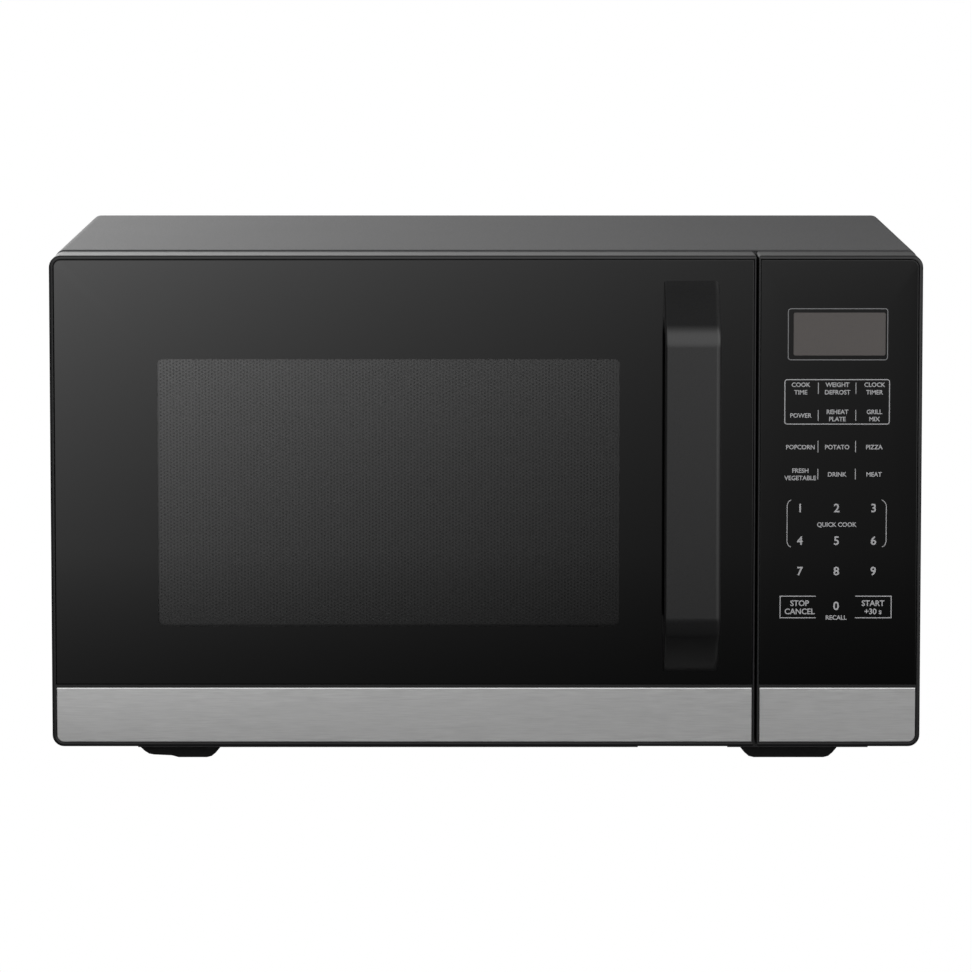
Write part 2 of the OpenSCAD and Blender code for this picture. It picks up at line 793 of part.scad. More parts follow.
module tongue(z) {
    along_z(z, z + tongue_t) union() {
        translate([pivot_x, pivot_y]) circle(tongue_w / 2);
        translate([pivot_x - tongue_w / 2, pivot_y]) square([tongue_w, y_inner - pivot_y + 0.5]);
    }
}

module hinge_upper() {
    z = upper_tongue_z;
    color([0.7, 0.7, 0.71])
    difference() {
        union() {
            tongue(z);
            block([pivot_x - tongue_w / 2, y_inner, z - 24], [pivot_x + tongue_w / 2 + 6, y_inner + 1.6, z + tongue_t]);
            translate([pivot_x, pivot_y, z - boss_l]) cylinder(r = pin_r, h = boss_l + tongue_t / 2);
        }
        hinge_screw_holes(y_inner - 1, y_inner + 2);
    }
}

// Places of the screws that hold the hinge plates
hinge_screw_x = pivot_x + 4;
hinge_screw_z = [upper_tongue_z - 18, upper_tongue_z - 8, lower_tongue_z + 10, lower_tongue_z + 20];

module hinge_screw_holes(y0, y1) {
    for (z = hinge_screw_z) rod_y(hinge_screw_x, z, 2.1, y0, y1);
}

module hinge_screws() {
    color([0.75, 0.75, 0.76])
    for (z = hinge_screw_z) {
        rod_y(hinge_screw_x, z, 2, y_cab, y_inner + 1.6);
        rod_y(hinge_screw_x, z, 3.6, y_inner + 1.6, y_inner + 4);
    }
}

module hinge_lower() {
    z = lower_tongue_z;
    color([0.7, 0.7, 0.71])
    difference() {
        union() {
            tongue(z);
            block([pivot_x - tongue_w / 2, y_inner, z], [pivot_x + tongue_w / 2 + 6, y_inner + 1.6, z + 26]);
            translate([pivot_x, pivot_y, z + tongue_t / 2]) cylinder(r = pin_r, h = boss_l + tongue_t / 2);
        }
        hinge_screw_holes(y_inner - 1, y_inner + 2);
    }
}

// ---------- microwave source ----------

module waveguide() {
    color([0.62, 0.63, 0.64])
    difference() {
        block([bay_x0, wave_y0, wave_z0], [wave_x1, wave_y1, wave_z1]);
        block([bay_x0 + sheet_t, wave_y0 + sheet_t, wave_z0 + sheet_t],
              [wave_x1 - sheet_t, wave_y1 - sheet_t, wave_z1 - sheet_t]);
        block([bay_x0 - 1, port_y[0], port_z[0]], [bay_x0 + 2, port_y[1], port_z[1]]);
        rod_x(tube_y, tube_z, 11, wave_x1 - 2, wave_x1 + 1);
    }
}

module waveguide_cover() {
    color([0.72, 0.68, 0.56])
    block([cav_x1 - 0.5, port_y[0] - 8, port_z[0] - 8], [cav_x1, port_y[1] + 8, port_z[1] + 8]);
}

yoke_l = 46;
yoke_w = 84;
yoke_h = 68;

module magnetron_yoke() {
    y0 = tube_y - yoke_w / 2;
    z0 = tube_z - yoke_h / 2;
    color([0.6, 0.6, 0.62])
    difference() {
        block([wave_x1, y0, z0], [wave_x1 + yoke_l, y0 + yoke_w, z0 + yoke_h]);
        block([wave_x1 + 1.4, y0 - 1, z0 + 1.4], [wave_x1 + yoke_l - 1.4, y0 + yoke_w + 1, z0 + yoke_h - 1.4]);
        rod_x(tube_y, tube_z, 9.5, wave_x1 - 1, wave_x1 + 2);
        rod_x(tube_y, tube_z, 14, wave_x1 + yoke_l - 2, wave_x1 + yoke_l + 1);
    }
}

// Antenna, anode with its cooling fins, and ring magnets
module magnetron_core() {
    x0 = wave_x1 + 1.4;
    x1 = wave_x1 + yoke_l - 1.4;
    fin_y = yoke_w / 2 - 6;
    fin_z = yoke_h / 2 - 2.4;
    color([0.72, 0.72, 0.74]) {
        rod_x(tube_y, tube_z, 7.5, wave_x1 - 17, x0 + 1);
        rod_x(tube_y, tube_z, 9, x0, wave_x1 + yoke_l);
        rod_x(tube_y, tube_z, 19, x0, x0 + 9);
        rod_x(tube_y, tube_z, 19, x1 - 9, x1);
        for (i = [0:4]) {
            x = x0 + 12 + i * (x1 - x0 - 24.6) / 4;
            block([x, tube_y - fin_y, tube_z - fin_z], [x + 0.6, tube_y + fin_y, tube_z + fin_z]);
        }
    }
}

module magnetron_filter() {
    x0 = wave_x1 + yoke_l;
    color([0.66, 0.66, 0.68]) {
        block([x0, tube_y - 20, tube_z - 22], [x0 + 26, tube_y + 22, tube_z + 22]);
        rod_x(tube_y + 10, tube_z, 4, x0 + 26, x0 + 34);
    }
}

trafo_x0 = bay_x0 + 30;
trafo_y0 = y_inner + 50;
trafo_z0 = base_z + sheet_t;
trafo = [80, 62, 68];

module transformer_core() {
    color([0.34, 0.34, 0.36])
    difference() {
        translate([trafo_x0, trafo_y0, trafo_z0]) cube(trafo);
        for (s = [0, 1])
            translate([trafo_x0 + 13 + s * 35, trafo_y0 - 1, trafo_z0 + 14]) cube([19, trafo[1] + 2, 40]);
    }
}

module transformer_coils() {
    color([0.72, 0.4, 0.18])
    for (k = [0, 1]) {
        z0 = trafo_z0 + 15 + 20 * k;
        difference() {
            block([trafo_x0 + 13.5, trafo_y0 - 13, z0], [trafo_x0 + 66.5, trafo_y0 + trafo[1] + 13, z0 + 17]);
            block([trafo_x0 + 31.5, trafo_y0 - 1, z0 - 1], [trafo_x0 + 48.5, trafo_y0 + trafo[1] + 1, z0 + 18]);
        }
    }
}

cap_x = bay_x0 + 34;
cap_y = y_panel - 95;
cap_l = 78;

module capacitor_outline(grow) {
    for (s = [-1, 1]) translate([cap_x + s * 9, cap_y]) circle(17 + grow);
    translate([cap_x - 9, cap_y - 17 - grow]) square([18, 34 + 2 * grow]);
}

module capacitor() {
    z0 = base_z + sheet_t;
    color([0.78, 0.79, 0.8]) {
        along_z(z0, z0 + cap_l) capacitor_outline(0);
        for (s = [-1, 1]) block([cap_x + s * 9 - 3, cap_y - 0.4, z0 + cap_l], [cap_x + s * 9 + 3, cap_y + 0.4, z0 + cap_l + 9]);
    }
}

module capacitor_clamp() {
    z0 = base_z + sheet_t + 30;
    color([0.6, 0.61, 0.62]) {
        along_z(z0, z0 + 12) difference() {
            capacitor_outline(1.2);
            capacitor_outline(0.1);
        }
        block([cap_x + 9, cap_y + 17.3, z0 - 30], [cap_x + 21, cap_y + 18.5, z0 + 12]);
    }
}

module diode() {
    z = base_z + sheet_t + cap_l + 9;
    color([0.12, 0.12, 0.13]) {
        rod_x(cap_y, z + 3, 3, cap_x - 8, cap_x + 14);
        rod_x(cap_y, z + 3, 0.8, cap_x + 14, cap_x + 26);
    }
}

// ---------- cooling ----------

module fan_shroud() {
    color([0.2, 0.21, 0.22])
    difference() {
        union() {
            block([bay_x0 + 2, fan_y, fan_z - 50], [bay_x1 - 2, fan_y + 2, fan_z + 50]);
            rod_y(fan_x, fan_z, fan_r + 5, fan_y, fan_y + 22);
            for (a = [45:90:315])
                translate([fan_x, 0, fan_z]) rotate([0, a, 0]) rod_y(fan_r + 3, 0, 3, fan_y, fan_y + 26);
        }
        rod_y(fan_x, fan_z, fan_r + 2, fan_y - 1, fan_y + 27);
    }
}

module fan_motor() {
    y0 = fan_y + 24;
    color([0.3, 0.3, 0.32])
    difference() {
        union() {
            rod_y(fan_x, fan_z, 16, y0, y0 + 13);
            block([fan_x - 22, y0 + 2, fan_z - 14], [fan_x + 22, y0 + 11, fan_z + 14]);
            for (a = [45:90:315])
                translate([fan_x, 0, fan_z]) rotate([0, a, 0]) block([12, y0 + 2, -2], [fan_r + 6, y0 + 4, 2]);
        }
        rod_y(fan_x, fan_z, 1.55, y0 - 1, y0 + 10);
    }
}

// Hub with its spindle and seven pitched blades
module fan_blade() {
    color([0.82, 0.83, 0.84]) {
        rod_y(fan_x, fan_z, 9, fan_y + 4, fan_y + 20);
        rod_y(fan_x, fan_z, 1.5, fan_y + 4, fan_y + 32);
        for (k = [0:6])
            translate([fan_x, fan_y + 12, fan_z]) rotate([0, k * 360 / 7, 0])
                translate([fan_r / 2 + 3, 0, 0]) rotate([32, 0, 0]) cube([fan_r - 8, 1.6, 20], center = true);
    }
}

module lamp_holder() {
    color([0.88, 0.87, 0.83])
    difference() {
        block([bay_x0 + 8, lamp_y - 14, lamp_z - 12], [bay_x0 + 32, lamp_y + 14, lamp_z + 12]);
        rod_x(lamp_y, lamp_z, 9, bay_x0 + 7, bay_x0 + 24);
    }
}

module oven_lamp() {
    color([1, 0.95, 0.8, 0.5]) {
        rod_x(lamp_y, lamp_z, 6.5, bay_x0 + 10, bay_x0 + 24);
        translate([bay_x0 + 10, lamp_y, lamp_z]) sphere(r = 6.5);
    }
}

// ---------- door interlock ----------

strike_x = [hook_x - 16, hook_x + 14];      // sides of the latch board
hook_tip = y_rear + hook_reach;

// Board that the hooks catch on, behind the face plate
module latch_board() {
    z0 = hook_z[0] - 26;
    z1 = hook_z[1] + 30;
    color([0.88, 0.88, 0.85])
    difference() {
        union() {
            block([strike_x[0], y_inner, z0], [strike_x[1], y_inner + 2, z1]);
            block([strike_x[0], y_inner, z0], [strike_x[0] + 2, hook_tip + 14, z1]);
            for (z = hook_z) {
                block([strike_x[0], y_inner, z - 14], [strike_x[1], hook_tip + 14, z - 11]);
                block([strike_x[0], hook_tip - 12, z - 12], [hook_x + 4, hook_tip - 8.3, z - 0.3]);
            }
        }
        hook_slots(y_inner - 1, y_inner + 3);
    }
}

// A switch behind each hook's tip, and a monitor switch beside the lower hook
module interlock_switches() {
    color([0.12, 0.12, 0.13]) {
        for (z = hook_z) {
            block([strike_x[0] + 2, hook_tip + 3, z - 11], [hook_x + 4, hook_tip + 13, z + 9]);
            rod_y(hook_x, z + 4, 1.2, hook_tip + 0.1, hook_tip + 3);
        }
        block([hook_x + 5, hook_tip - 7, hook_z[0] - 11], [hook_x + 13, hook_tip + 12, hook_z[0] + 16]);
        rod_x(hook_tip - 4, hook_z[0] + 4, 1.2, hook_x + hook_t / 2 + 0.1, hook_x + 5);
    }
}

// Mains filter on four pillars in front of the rear panel
module filter_board() {
    x0 = bay_x0 + 20;
    x1 = x0 + 60;
    y0 = y_panel - 8;
    z0 = z_low + 44;
    z1 = z0 + 46;
    color([0.1, 0.32, 0.16]) {
        block([x0, y0, z0], [x1, y0 + 1.6, z1]);
        for (x = [x0 + 4, x1 - 4], z = [z0 + 4, z1 - 4]) rod_y(x, z, 2.5, y0 + 1.6, y_panel);
    }
    color([0.8, 0.7, 0.2]) {
        rod_y(x0 + 16, z0 + 22, 9, y0 - 8, y0);
        block([x0 + 32, y0 - 11, z0 + 8], [x0 + 54, y0, z0 + 20]);
        rod_x(y0 - 3.2, z0 + 36, 3.2, x0 + 28, x0 + 54);
    }
}

module thermal_cutouts() {
    color([0.15, 0.15, 0.16]) {
        translate([cav_cx + 60, cav_cy - 40, cav_z1 + sheet_t]) cylinder(r = 8, h = 9);
        rod_x(cav_cy + 90, cav_z0 + 60, 8, bay_x0, bay_x0 + 9);
    }
}

// ---------- inside the cavity ----------

grill_r = 3.25;
grill_w = 210;
grill_z = cav_z1 - 14;
grill_bend = 40;
grill_y0 = cav_cy - 88;

// Bent sheathed heater under the ceiling, with both ends through the back wall
module grill_element() {
    color([0.35, 0.34, 0.33]) {
        for (s = [-1, 1]) {
            rod_y(cav_cx + s * grill_w / 2, grill_z, grill_r, grill_y0 + grill_bend, cav_y1 + 6);
            rod_y(cav_cx + s * grill_w / 2, grill_z, grill_r + 2, cav_y1 + sheet_t, cav_y1 + 4);
            translate([cav_cx + s * (grill_w / 2 - grill_bend), grill_y0 + grill_bend, grill_z])
                rotate([0, 0, s > 0 ? 270 : 180])
                rotate_extrude(angle = 90) translate([grill_bend, 0]) circle(grill_r);
        }
        rod_x(grill_y0, grill_z, grill_r, cav_cx - grill_w / 2 + grill_bend, cav_cx + grill_w / 2 - grill_bend);
    }
}

module turntable_motor() {
    z1 = cav_z0 - sheet_t;
    color([0.7, 0.7, 0.71])
    difference() {
        translate([cav_cx, cav_cy, z1 - motor_h]) union() {
            cylinder(r = motor_r, h = motor_h);
            translate([-motor_r - 7, -4, motor_h - 1]) cube([2 * motor_r + 14, 8, 1]);
        }
        translate([cav_cx, cav_cy, z1 - motor_h + 3]) cylinder(r = shaft_r + 0.05, h = motor_h);
    }
}

// Shaft and three-lobed hub that carries the tray round
module turntable_coupler() {
    hub_z = cav_z0 + 2;
    color([0.3, 0.3, 0.32])
    translate([cav_cx, cav_cy, 0]) {
        along_z(cav_z0 - sheet_t - motor_h + 4, hub_z + 1) circle(shaft_r);
        along_z(hub_z, tray_z - 5) circle(9);
        along_z(tray_z - 5, tray_z) {
            circle(7);
            for (k = [0:lug_n - 1]) rotate(k * 120) translate([0, -4]) square([coupler_r, 8]);
        }
    }
}

// Glass tray with a raised rim, and three lugs beneath that sit between the coupler's lobes
module glass_tray() {
    r = tray_r;
    color([0.75, 0.85, 0.82, 0.5])
    translate([cav_cx, cav_cy, tray_z]) {
        rotate_extrude() polygon(concat(
            [[0, 0], [r - 14, 0]],
            arc(r - 14, tray_rim, tray_rim, -90, -20, 8),
            [[r, tray_rim + 3], [r - 2, tray_rim + 4.5]],
            arc(r - 14, tray_rim + 1, tray_rim - tray_t + 1, -20, -90, 8),
            [[0, tray_t]]));
        for (k = [0:lug_n - 1]) rotate(60 + k * 120) translate([13, 0, -3.5]) cylinder(r = 3, h = 4);
    }
}

ring_r = track_r - roller_w / 2 - 5;

module roller_ring() {
    z = roller_z;
    color([0.86, 0.86, 0.84])
    translate([cav_cx, cav_cy, 0]) {
        rotate_extrude() translate([ring_r - 4, z - 3]) square([8, 6]);
        for (k = [0:2]) rotate(k * 120) rod_x(0, z, axle_r, ring_r, track_r + roller_w / 2 + 1.5);
        for (k = [0:2]) rotate(60 + k * 120) block([24, -4, z - 2], [ring_r, 4, z + 2]);
        rotate_extrude() translate([20, z - 2]) square([6, 4]);
    }
}

module roller(k) {
    color([0.8, 0.8, 0.78])
    translate([cav_cx, cav_cy, 0]) rotate(k * 120)
        difference() {
            rod_x(0, roller_z, roller_r, track_r - roller_w / 2, track_r + roller_w / 2);
            rod_x(0, roller_z, axle_r + 0.05, track_r - roller_w, track_r + roller_w);
        }
}

door_frame();
door_glass();
door_trim();
door_handle();
handle_screws();
door_screen();
door_panel();
inner_window();
choke_cover();
latch_hook();
latch_spring();
panel_housing();
panel_glass();
panel_trim();
display_lens();
display_module();
keypad_film();
control_board();
board_components();
board_screws();
cabinet_cover();
base_plate();
rear_panel();
rear_spacers();
face_plate();
cavity_wrap();
cavity_back();
feet();
cover_screws();
cord_gland();
hinge_upper();
hinge_lower();
hinge_screws();
waveguide();
waveguide_cover();
magnetron_yoke();
magnetron_core();
magnetron_filter();
transformer_core();
transformer_coils();
capacitor();
capacitor_clamp();
diode();
fan_shroud();
fan_motor();
fan_blade();
oven_lamp();
lamp_holder();
latch_board();
interlock_switches();
filter_board();
thermal_cutouts();
grill_element();
turntable_motor();
turntable_coupler();
glass_tray();
roller_ring();
roller(0);  // roller_1
roller(1);  // roller_2
roller(2);  // roller_3
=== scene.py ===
"""Countertop microwave oven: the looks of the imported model, with studio light and camera."""

import json
import math

import bmesh
import bpy
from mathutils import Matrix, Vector


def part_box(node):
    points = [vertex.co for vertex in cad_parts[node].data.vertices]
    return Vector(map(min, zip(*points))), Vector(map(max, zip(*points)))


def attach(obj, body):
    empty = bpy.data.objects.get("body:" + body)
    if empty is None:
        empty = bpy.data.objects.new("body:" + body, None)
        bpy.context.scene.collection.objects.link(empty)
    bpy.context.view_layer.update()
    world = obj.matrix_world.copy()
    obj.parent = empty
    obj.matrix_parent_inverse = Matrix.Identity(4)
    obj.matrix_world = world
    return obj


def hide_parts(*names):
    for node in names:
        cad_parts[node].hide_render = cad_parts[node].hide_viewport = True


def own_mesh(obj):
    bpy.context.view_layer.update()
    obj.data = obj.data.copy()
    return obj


MM = 0.001
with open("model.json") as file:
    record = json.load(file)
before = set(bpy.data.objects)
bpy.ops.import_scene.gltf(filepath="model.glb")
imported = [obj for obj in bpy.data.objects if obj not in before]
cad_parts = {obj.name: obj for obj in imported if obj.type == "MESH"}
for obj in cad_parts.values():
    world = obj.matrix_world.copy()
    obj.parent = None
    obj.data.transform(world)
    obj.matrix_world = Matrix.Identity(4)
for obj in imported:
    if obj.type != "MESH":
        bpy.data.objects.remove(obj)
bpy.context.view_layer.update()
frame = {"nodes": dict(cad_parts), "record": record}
scene = bpy.context.scene

# ---------- places shared by the pieces, in metres ----------

DOOR_LOW, DOOR_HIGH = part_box("door_frame")
PANEL_LOW, PANEL_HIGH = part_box("panel_housing")
GLASS_LOW, GLASS_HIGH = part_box("door_glass")
PANE_LOW, PANE_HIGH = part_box("panel_glass")
SCREEN_LOW, SCREEN_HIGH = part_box("door_screen")
LENS_LOW, LENS_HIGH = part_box("display_lens")
HANDLE_LOW, HANDLE_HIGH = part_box("door_handle")

LIP = 2.2 * MM                  # width of the fascia's lip
CORNER = 6.5 * MM               # radius of the fascia's outer corners
GAP_LIP = 1.2 * MM              # the same two beside the gap between door and panel
GAP_CORNER = 1.5 * MM
FRONT = DOOR_LOW.y              # front of the fascia's lip


# ---------- geometry helpers ----------

def rounded_loop(low, high, radii, y, inset=0.0, steps=8, sides=(1, 1, 1, 1)):
    """Points round a rectangle in X and Z, with its own radius at the lower left, lower right,
    upper right and upper left corner. sides scales the inset at the left, bottom, right and top."""
    left, bottom, right, top = (inset * share for share in sides)
    x0, z0, x1, z1 = low[0] + left, low[1] + bottom, high[0] - right, high[1] - top
    corners = [(x0, z0, 180, 1, 1), (x1, z0, 270, -1, 1), (x1, z1, 0, -1, -1), (x0, z1, 90, 1, -1)]
    points = []
    for (x, z, start, sx, sz), radius in zip(corners, radii):
        r = max(radius - inset, 0.02 * MM)
        for i in range(steps + 1):
            a = math.radians(start + 90 * i / steps)
            points.append(Vector((x + sx * r + r * math.cos(a), y, z + sz * r + r * math.sin(a))))
    return points


def loft(bm, loops, closed=False, caps=(True, True), slots=None):
    """Joins loops of equal length with quads. slots gives a material index for each band."""
    rings = [[bm.verts.new(p) for p in loop] for loop in loops]
    bands = list(zip(rings, rings[1:] + rings[:1] if closed else rings[1:]))
    for band, (a, b) in enumerate(bands):
        for i in range(len(a)):
            j = (i + 1) % len(a)
            face = bm.faces.new((a[i], a[j], b[j], b[i]))
            face.material_index = slots[band] if slots else 0
    if not closed:
        for wanted, ring, index in zip(caps, (rings[0], rings[-1]), (0, -1)):
            if wanted:
                face = bm.faces.new(ring)
                face.material_index = slots[index] if slots else 0
    return rings


def fillet(inset, y, radius, toward, steps=5):
    """(inset, y) pairs along a quarter round, from the side of a plate to its face."""
    pairs = []
    for i in range(steps + 1):
        a = math.radians(90 * i / steps)
        pairs.append((inset + radius * (1 - math.cos(a)), y + toward * radius * (1 - math.sin(a))))
    return pairs


def finish_mesh(mesh, angle=35):
    mesh.polygons.foreach_set("use_smooth", [True] * len(mesh.polygons))
    mesh.set_sharp_from_angle(angle=math.radians(angle))


def weighted(obj):
    mod = obj.modifiers.new("weighted normals", "WEIGHTED_NORMAL")
    mod.keep_sharp = True
    mod.weight = 100


def piece(name, bm, body, materials, replaces=(), angle=35, normals=True):
    """Makes a piece out of bm, on a CAD body."""
    if normals:
        bmesh.ops.recalc_face_normals(bm, faces=bm.faces)
    mesh = bpy.data.meshes.new(name)
    bm.to_mesh(mesh)
    bm.free()
    finish_mesh(mesh, angle)
    obj = bpy.data.objects.new(name, mesh)
    scene.collection.objects.link(obj)
    for material in materials:
        mesh.materials.append(material)
    weighted(obj)
    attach(obj, body)
    if replaces:
        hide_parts(*replaces)
    return obj


def take_away(obj, cutter):
    """Takes cutter away from obj, and keeps the result as obj's mesh."""
    mod = obj.modifiers.new("cut", "BOOLEAN")
    mod.operation, mod.object, mod.solver = "DIFFERENCE", cutter, "EXACT"
    bpy.context.view_layer.update()
    depsgraph = bpy.context.evaluated_depsgraph_get()
    result = bpy.data.meshes.new_from_object(obj.evaluated_get(depsgraph))
    obj.modifiers.clear()
    obj.data = result


def cutter_object(bm):
    """A closed bmesh as an object for take_away."""
    bmesh.ops.recalc_face_normals(bm, faces=bm.faces)
    mesh = bpy.data.meshes.new("cutter")
    bm.to_mesh(mesh)
    bm.free()
    obj = bpy.data.objects.new("cutter", mesh)
    scene.collection.objects.link(obj)
    return obj


def cut(obj, cutters):
    """Takes closed bmeshes away from a piece, one after the other."""
    obj.modifiers.clear()
    for bm in cutters:
        cutter = cutter_object(bm)
        take_away(obj, cutter)
        bpy.data.objects.remove(cutter)
    finish_mesh(obj.data)
    weighted(obj)


# ---------- materials ----------

MIX_A, MIX_B, MIX_RESULT = 6, 7, 2      # the colour sockets of a Mix node
SUM_SPAN = (0.6, 1.4)                   # where the sum of two noises lies


class Nodes:
    """A small wrapper that makes a node tree readable."""

    def __init__(self, name):
        self.material = bpy.data.materials.new(name)
        self.material.use_nodes = True
        self.tree = self.material.node_tree
        self.shader = self.tree.nodes["Principled BSDF"]
        self.output = self.tree.nodes["Material Output"]

    def add(self, kind, **values):
        node = self.tree.nodes.new(kind)
        for key, value in values.items():
            if hasattr(node, key):
                setattr(node, key, value)
            else:
                node.inputs[key.replace("_", " ")].default_value = value
        return node

    def link(self, a, b):
        self.tree.links.new(a, b)

    def place(self, stretch=(1, 1, 1)):
        """Position in the row frame, stretched."""
        where = self.add("ShaderNodeTexCoord")
        mapping = self.add("ShaderNodeMapping", Scale=stretch)
        self.link(where.outputs["Object"], mapping.inputs["Vector"])
        return mapping.outputs["Vector"]

    def noise(self, scale, detail=3, stretch=(1, 1, 1)):
        node = self.add("ShaderNodeTexNoise", Scale=scale, Detail=detail)
        self.link(self.place(stretch), node.inputs["Vector"])
        return node.outputs["Fac"]

    def span(self, value, low, high, start=0.3, stop=0.7):
        node = self.add("ShaderNodeMapRange")
        for name, number in (("From Min", start), ("From Max", stop),
                             ("To Min", low), ("To Max", high)):
            node.inputs[name].default_value = number
        self.link(value, node.inputs["Value"])
        return node.outputs["Result"]

    def tint(self, value, a, b):
        node = self.add("ShaderNodeMix", data_type="RGBA")
        self.link(value, node.inputs["Factor"])
        for socket, colour in ((MIX_A, a), (MIX_B, b)):
            node.inputs[socket].default_value = (*colour, 1)
        return node.outputs[MIX_RESULT]

    def bump(self, value, height, strength=1.0):
        node = self.add("ShaderNodeBump", Strength=strength, Distance=height)
        self.link(value, node.inputs["Height"])
        self.link(node.outputs["Normal"], self.shader.inputs["Normal"])

    def set(self, **values):
        for key, value in values.items():
            self.shader.inputs[key.replace("_", " ")].default_value = value


def shade(colour, factor):
    """A colour made darker or lighter."""
    return tuple(min(c * factor, 1) for c in colour)


def moulded(name, colour, rough=0.4, grain=2600, height=0.02 * MM, ior=1.5, spread=0.12):
    """Moulded plastic or paint: a fine grain in the surface and its gloss, and slow changes of
    colour."""
    n = Nodes(name)
    slow = n.noise(14, 2)
    n.link(n.tint(n.span(slow, 0, 1), shade(colour, 1 - spread), shade(colour, 1 + spread)),
           n.shader.inputs["Base Color"])
    fine = n.noise(grain, 3)
    n.link(n.span(fine, rough * 0.85, rough * 1.15), n.shader.inputs["Roughness"])
    n.bump(fine, height, 0.5)
    n.set(IOR=ior)
    return n.material


def brushed(name, colour, rough=0.3, stretch=(0.012, 1, 1), anisotropic=0.0, lines=2200,
            spread=0.16):
    """Metal with fine lines along one axis."""
    n = Nodes(name)
    fine = n.noise(lines, 4, stretch)
    broad = n.noise(lines * 0.45, 3, stretch)
    streaks = n.add("ShaderNodeMath", operation="ADD")
    n.link(fine, streaks.inputs[0])
    n.link(broad, streaks.inputs[1])
    mixed = streaks.outputs[0]
    n.link(n.tint(n.span(mixed, 0, 1, *SUM_SPAN), shade(colour, 1 - spread),
                  shade(colour, 1 + spread)), n.shader.inputs["Base Color"])
    n.link(n.span(mixed, rough * 0.9, rough * 1.1, *SUM_SPAN), n.shader.inputs["Roughness"])
    n.bump(fine, 0.002 * MM, 0.2)
    n.set(Metallic=1.0, Anisotropic=anisotropic)
    if anisotropic:
        tangent = n.add("ShaderNodeTangent", direction_type="RADIAL", axis="Z")
        n.link(tangent.outputs["Tangent"], n.shader.inputs["Tangent"])
    return n.material


def polished_black(name, colour):
    """Glass printed black on its back, with the faintest smears on its face."""
    n = Nodes(name)
    smears = n.noise(9, 5, (1, 1, 0.5))
    n.link(n.span(smears, 0.03, 0.055), n.shader.inputs["Roughness"])
    n.link(n.tint(smears, shade(colour, 0.9), shade(colour, 1.1)), n.shader.inputs["Base Color"])
    n.set(IOR=1.5)
    return n.material


def clear_pane(name, tint, ior=1.5):
    """Clear glass seen straight through, with its mirror image."""
    n = Nodes(name)
    n.tree.nodes.remove(n.shader)
    through = n.add("ShaderNodeBsdfTransparent", Color=(*tint, 1))
    mirror = n.add("ShaderNodeBsdfGlossy", Color=(1, 1, 1, 1))
    smears = n.noise(9, 5)
    n.link(n.span(smears, 0.015, 0.035), mirror.inputs["Roughness"])
    facing = n.add("ShaderNodeLayerWeight", Blend=0.5).outputs["Facing"]
    grazing = n.add("ShaderNodeMath", operation="POWER")
    grazing.inputs[1].default_value = 5
    n.link(facing, grazing.inputs[0])
    straight = ((ior - 1) / (ior + 1)) ** 2
    mix = n.add("ShaderNodeMixShader")
    n.link(n.span(grazing.outputs[0], straight, 1, 0, 1), mix.inputs[0])
    n.link(through.outputs[0], mix.inputs[1])
    n.link(mirror.outputs[0], mix.inputs[2])
    n.link(mix.outputs[0], n.output.inputs["Surface"])
    return n.material


M = {
    "black_plastic": moulded("fascia plastic", (0.011, 0.011, 0.0114), 0.32, 2200, 0.01 * MM,
                             ior=1.42),
    "handle_plastic": moulded("handle satin", (0.007, 0.007, 0.0073), 0.3, 3400, 0.004 * MM,
                              ior=1.54),
    "front_glass": polished_black("printed glass", (0.001, 0.001, 0.00105)),
    "window_glass": clear_pane("window glass", (0.66, 0.66, 0.66)),
    "clear_glass": clear_pane("clear glass", (0.93, 0.96, 0.95)),
    "display_lens": moulded("smoked lens", (0.082, 0.073, 0.069), 0.3, 6000, 0.0002 * MM,
                            spread=0.02),
    "steel_trim": brushed("brushed steel", (0.93, 0.93, 0.925), 0.34, (0.05, 1, 1), 0.55,
                          lines=2600, spread=0.06),
    "cabinet_paint": moulded("textured paint", (0.05, 0.05, 0.0515), 0.5, 1500, 0.05 * MM,
                             spread=0.05),
    # The cavity's colour is darker than a usual grey cavity. This is partly its own dark enamel and
    # partly painted shade, so the unlit inside looks dark through the screen's holes.
    "cavity_paint": moulded("dark cavity enamel with painted shade", (0.05, 0.05, 0.051), 0.42, 900, 0.02 * MM),
    "screen_paint": moulded("screen paint", (0.004, 0.004, 0.0042), 0.13, 1200, 0.0004 * MM,
                            ior=2.2),
    "zinc_sheet": brushed("zinc sheet", (0.5, 0.51, 0.52), 0.45, (1, 1, 1), lines=160, spread=0.1),
    "bright_steel": brushed("plated steel", (0.6, 0.6, 0.6), 0.28, (1, 1, 0.05), lines=1500),
    "grey_plastic": moulded("dark grey plastic", (0.05, 0.05, 0.052), 0.42, 1800, 0.02 * MM),
    "white_plastic": moulded("off-white plastic", (0.62, 0.62, 0.58), 0.4, 1500, 0.01 * MM,
                             spread=0.04),
    "black_rubber": moulded("black rubber", (0.004, 0.004, 0.004), 0.6, 1300, 0.03 * MM, ior=1.35),
    "circuit_board": moulded("circuit board", (0.02, 0.11, 0.045), 0.3, 700, 0.02 * MM, spread=0.3),
    "dark_parts": moulded("dark moulded parts", (0.03, 0.03, 0.032), 0.4, 1500, 0.02 * MM),
    "copper_wire": brushed("copper winding", (0.6, 0.26, 0.1), 0.35, (1, 1, 0.02), lines=1800),
    "core_steel": brushed("core laminations", (0.12, 0.12, 0.13), 0.45, (1, 0.02, 1), lines=1400),
    "aluminium": brushed("aluminium", (0.68, 0.69, 0.7), 0.35, (1, 1, 0.04), lines=1200),
    "mica": moulded("mica sheet", (0.42, 0.37, 0.27), 0.35, 120, 0.03 * MM, spread=0.35),
    "heater": brushed("heater sheath", (0.16, 0.145, 0.135), 0.4, (1, 1, 1), lines=300,
                      spread=0.25),
    "outline": moulded("outline print", (0.2, 0.2, 0.205), 0.5, 900, 0.001 * MM, spread=0.02),
    "legend": moulded("legend print", (0.42, 0.42, 0.43), 0.5, 900, 0.001 * MM, spread=0.02),
}


# ---------- CAD nodes that show as they are ----------

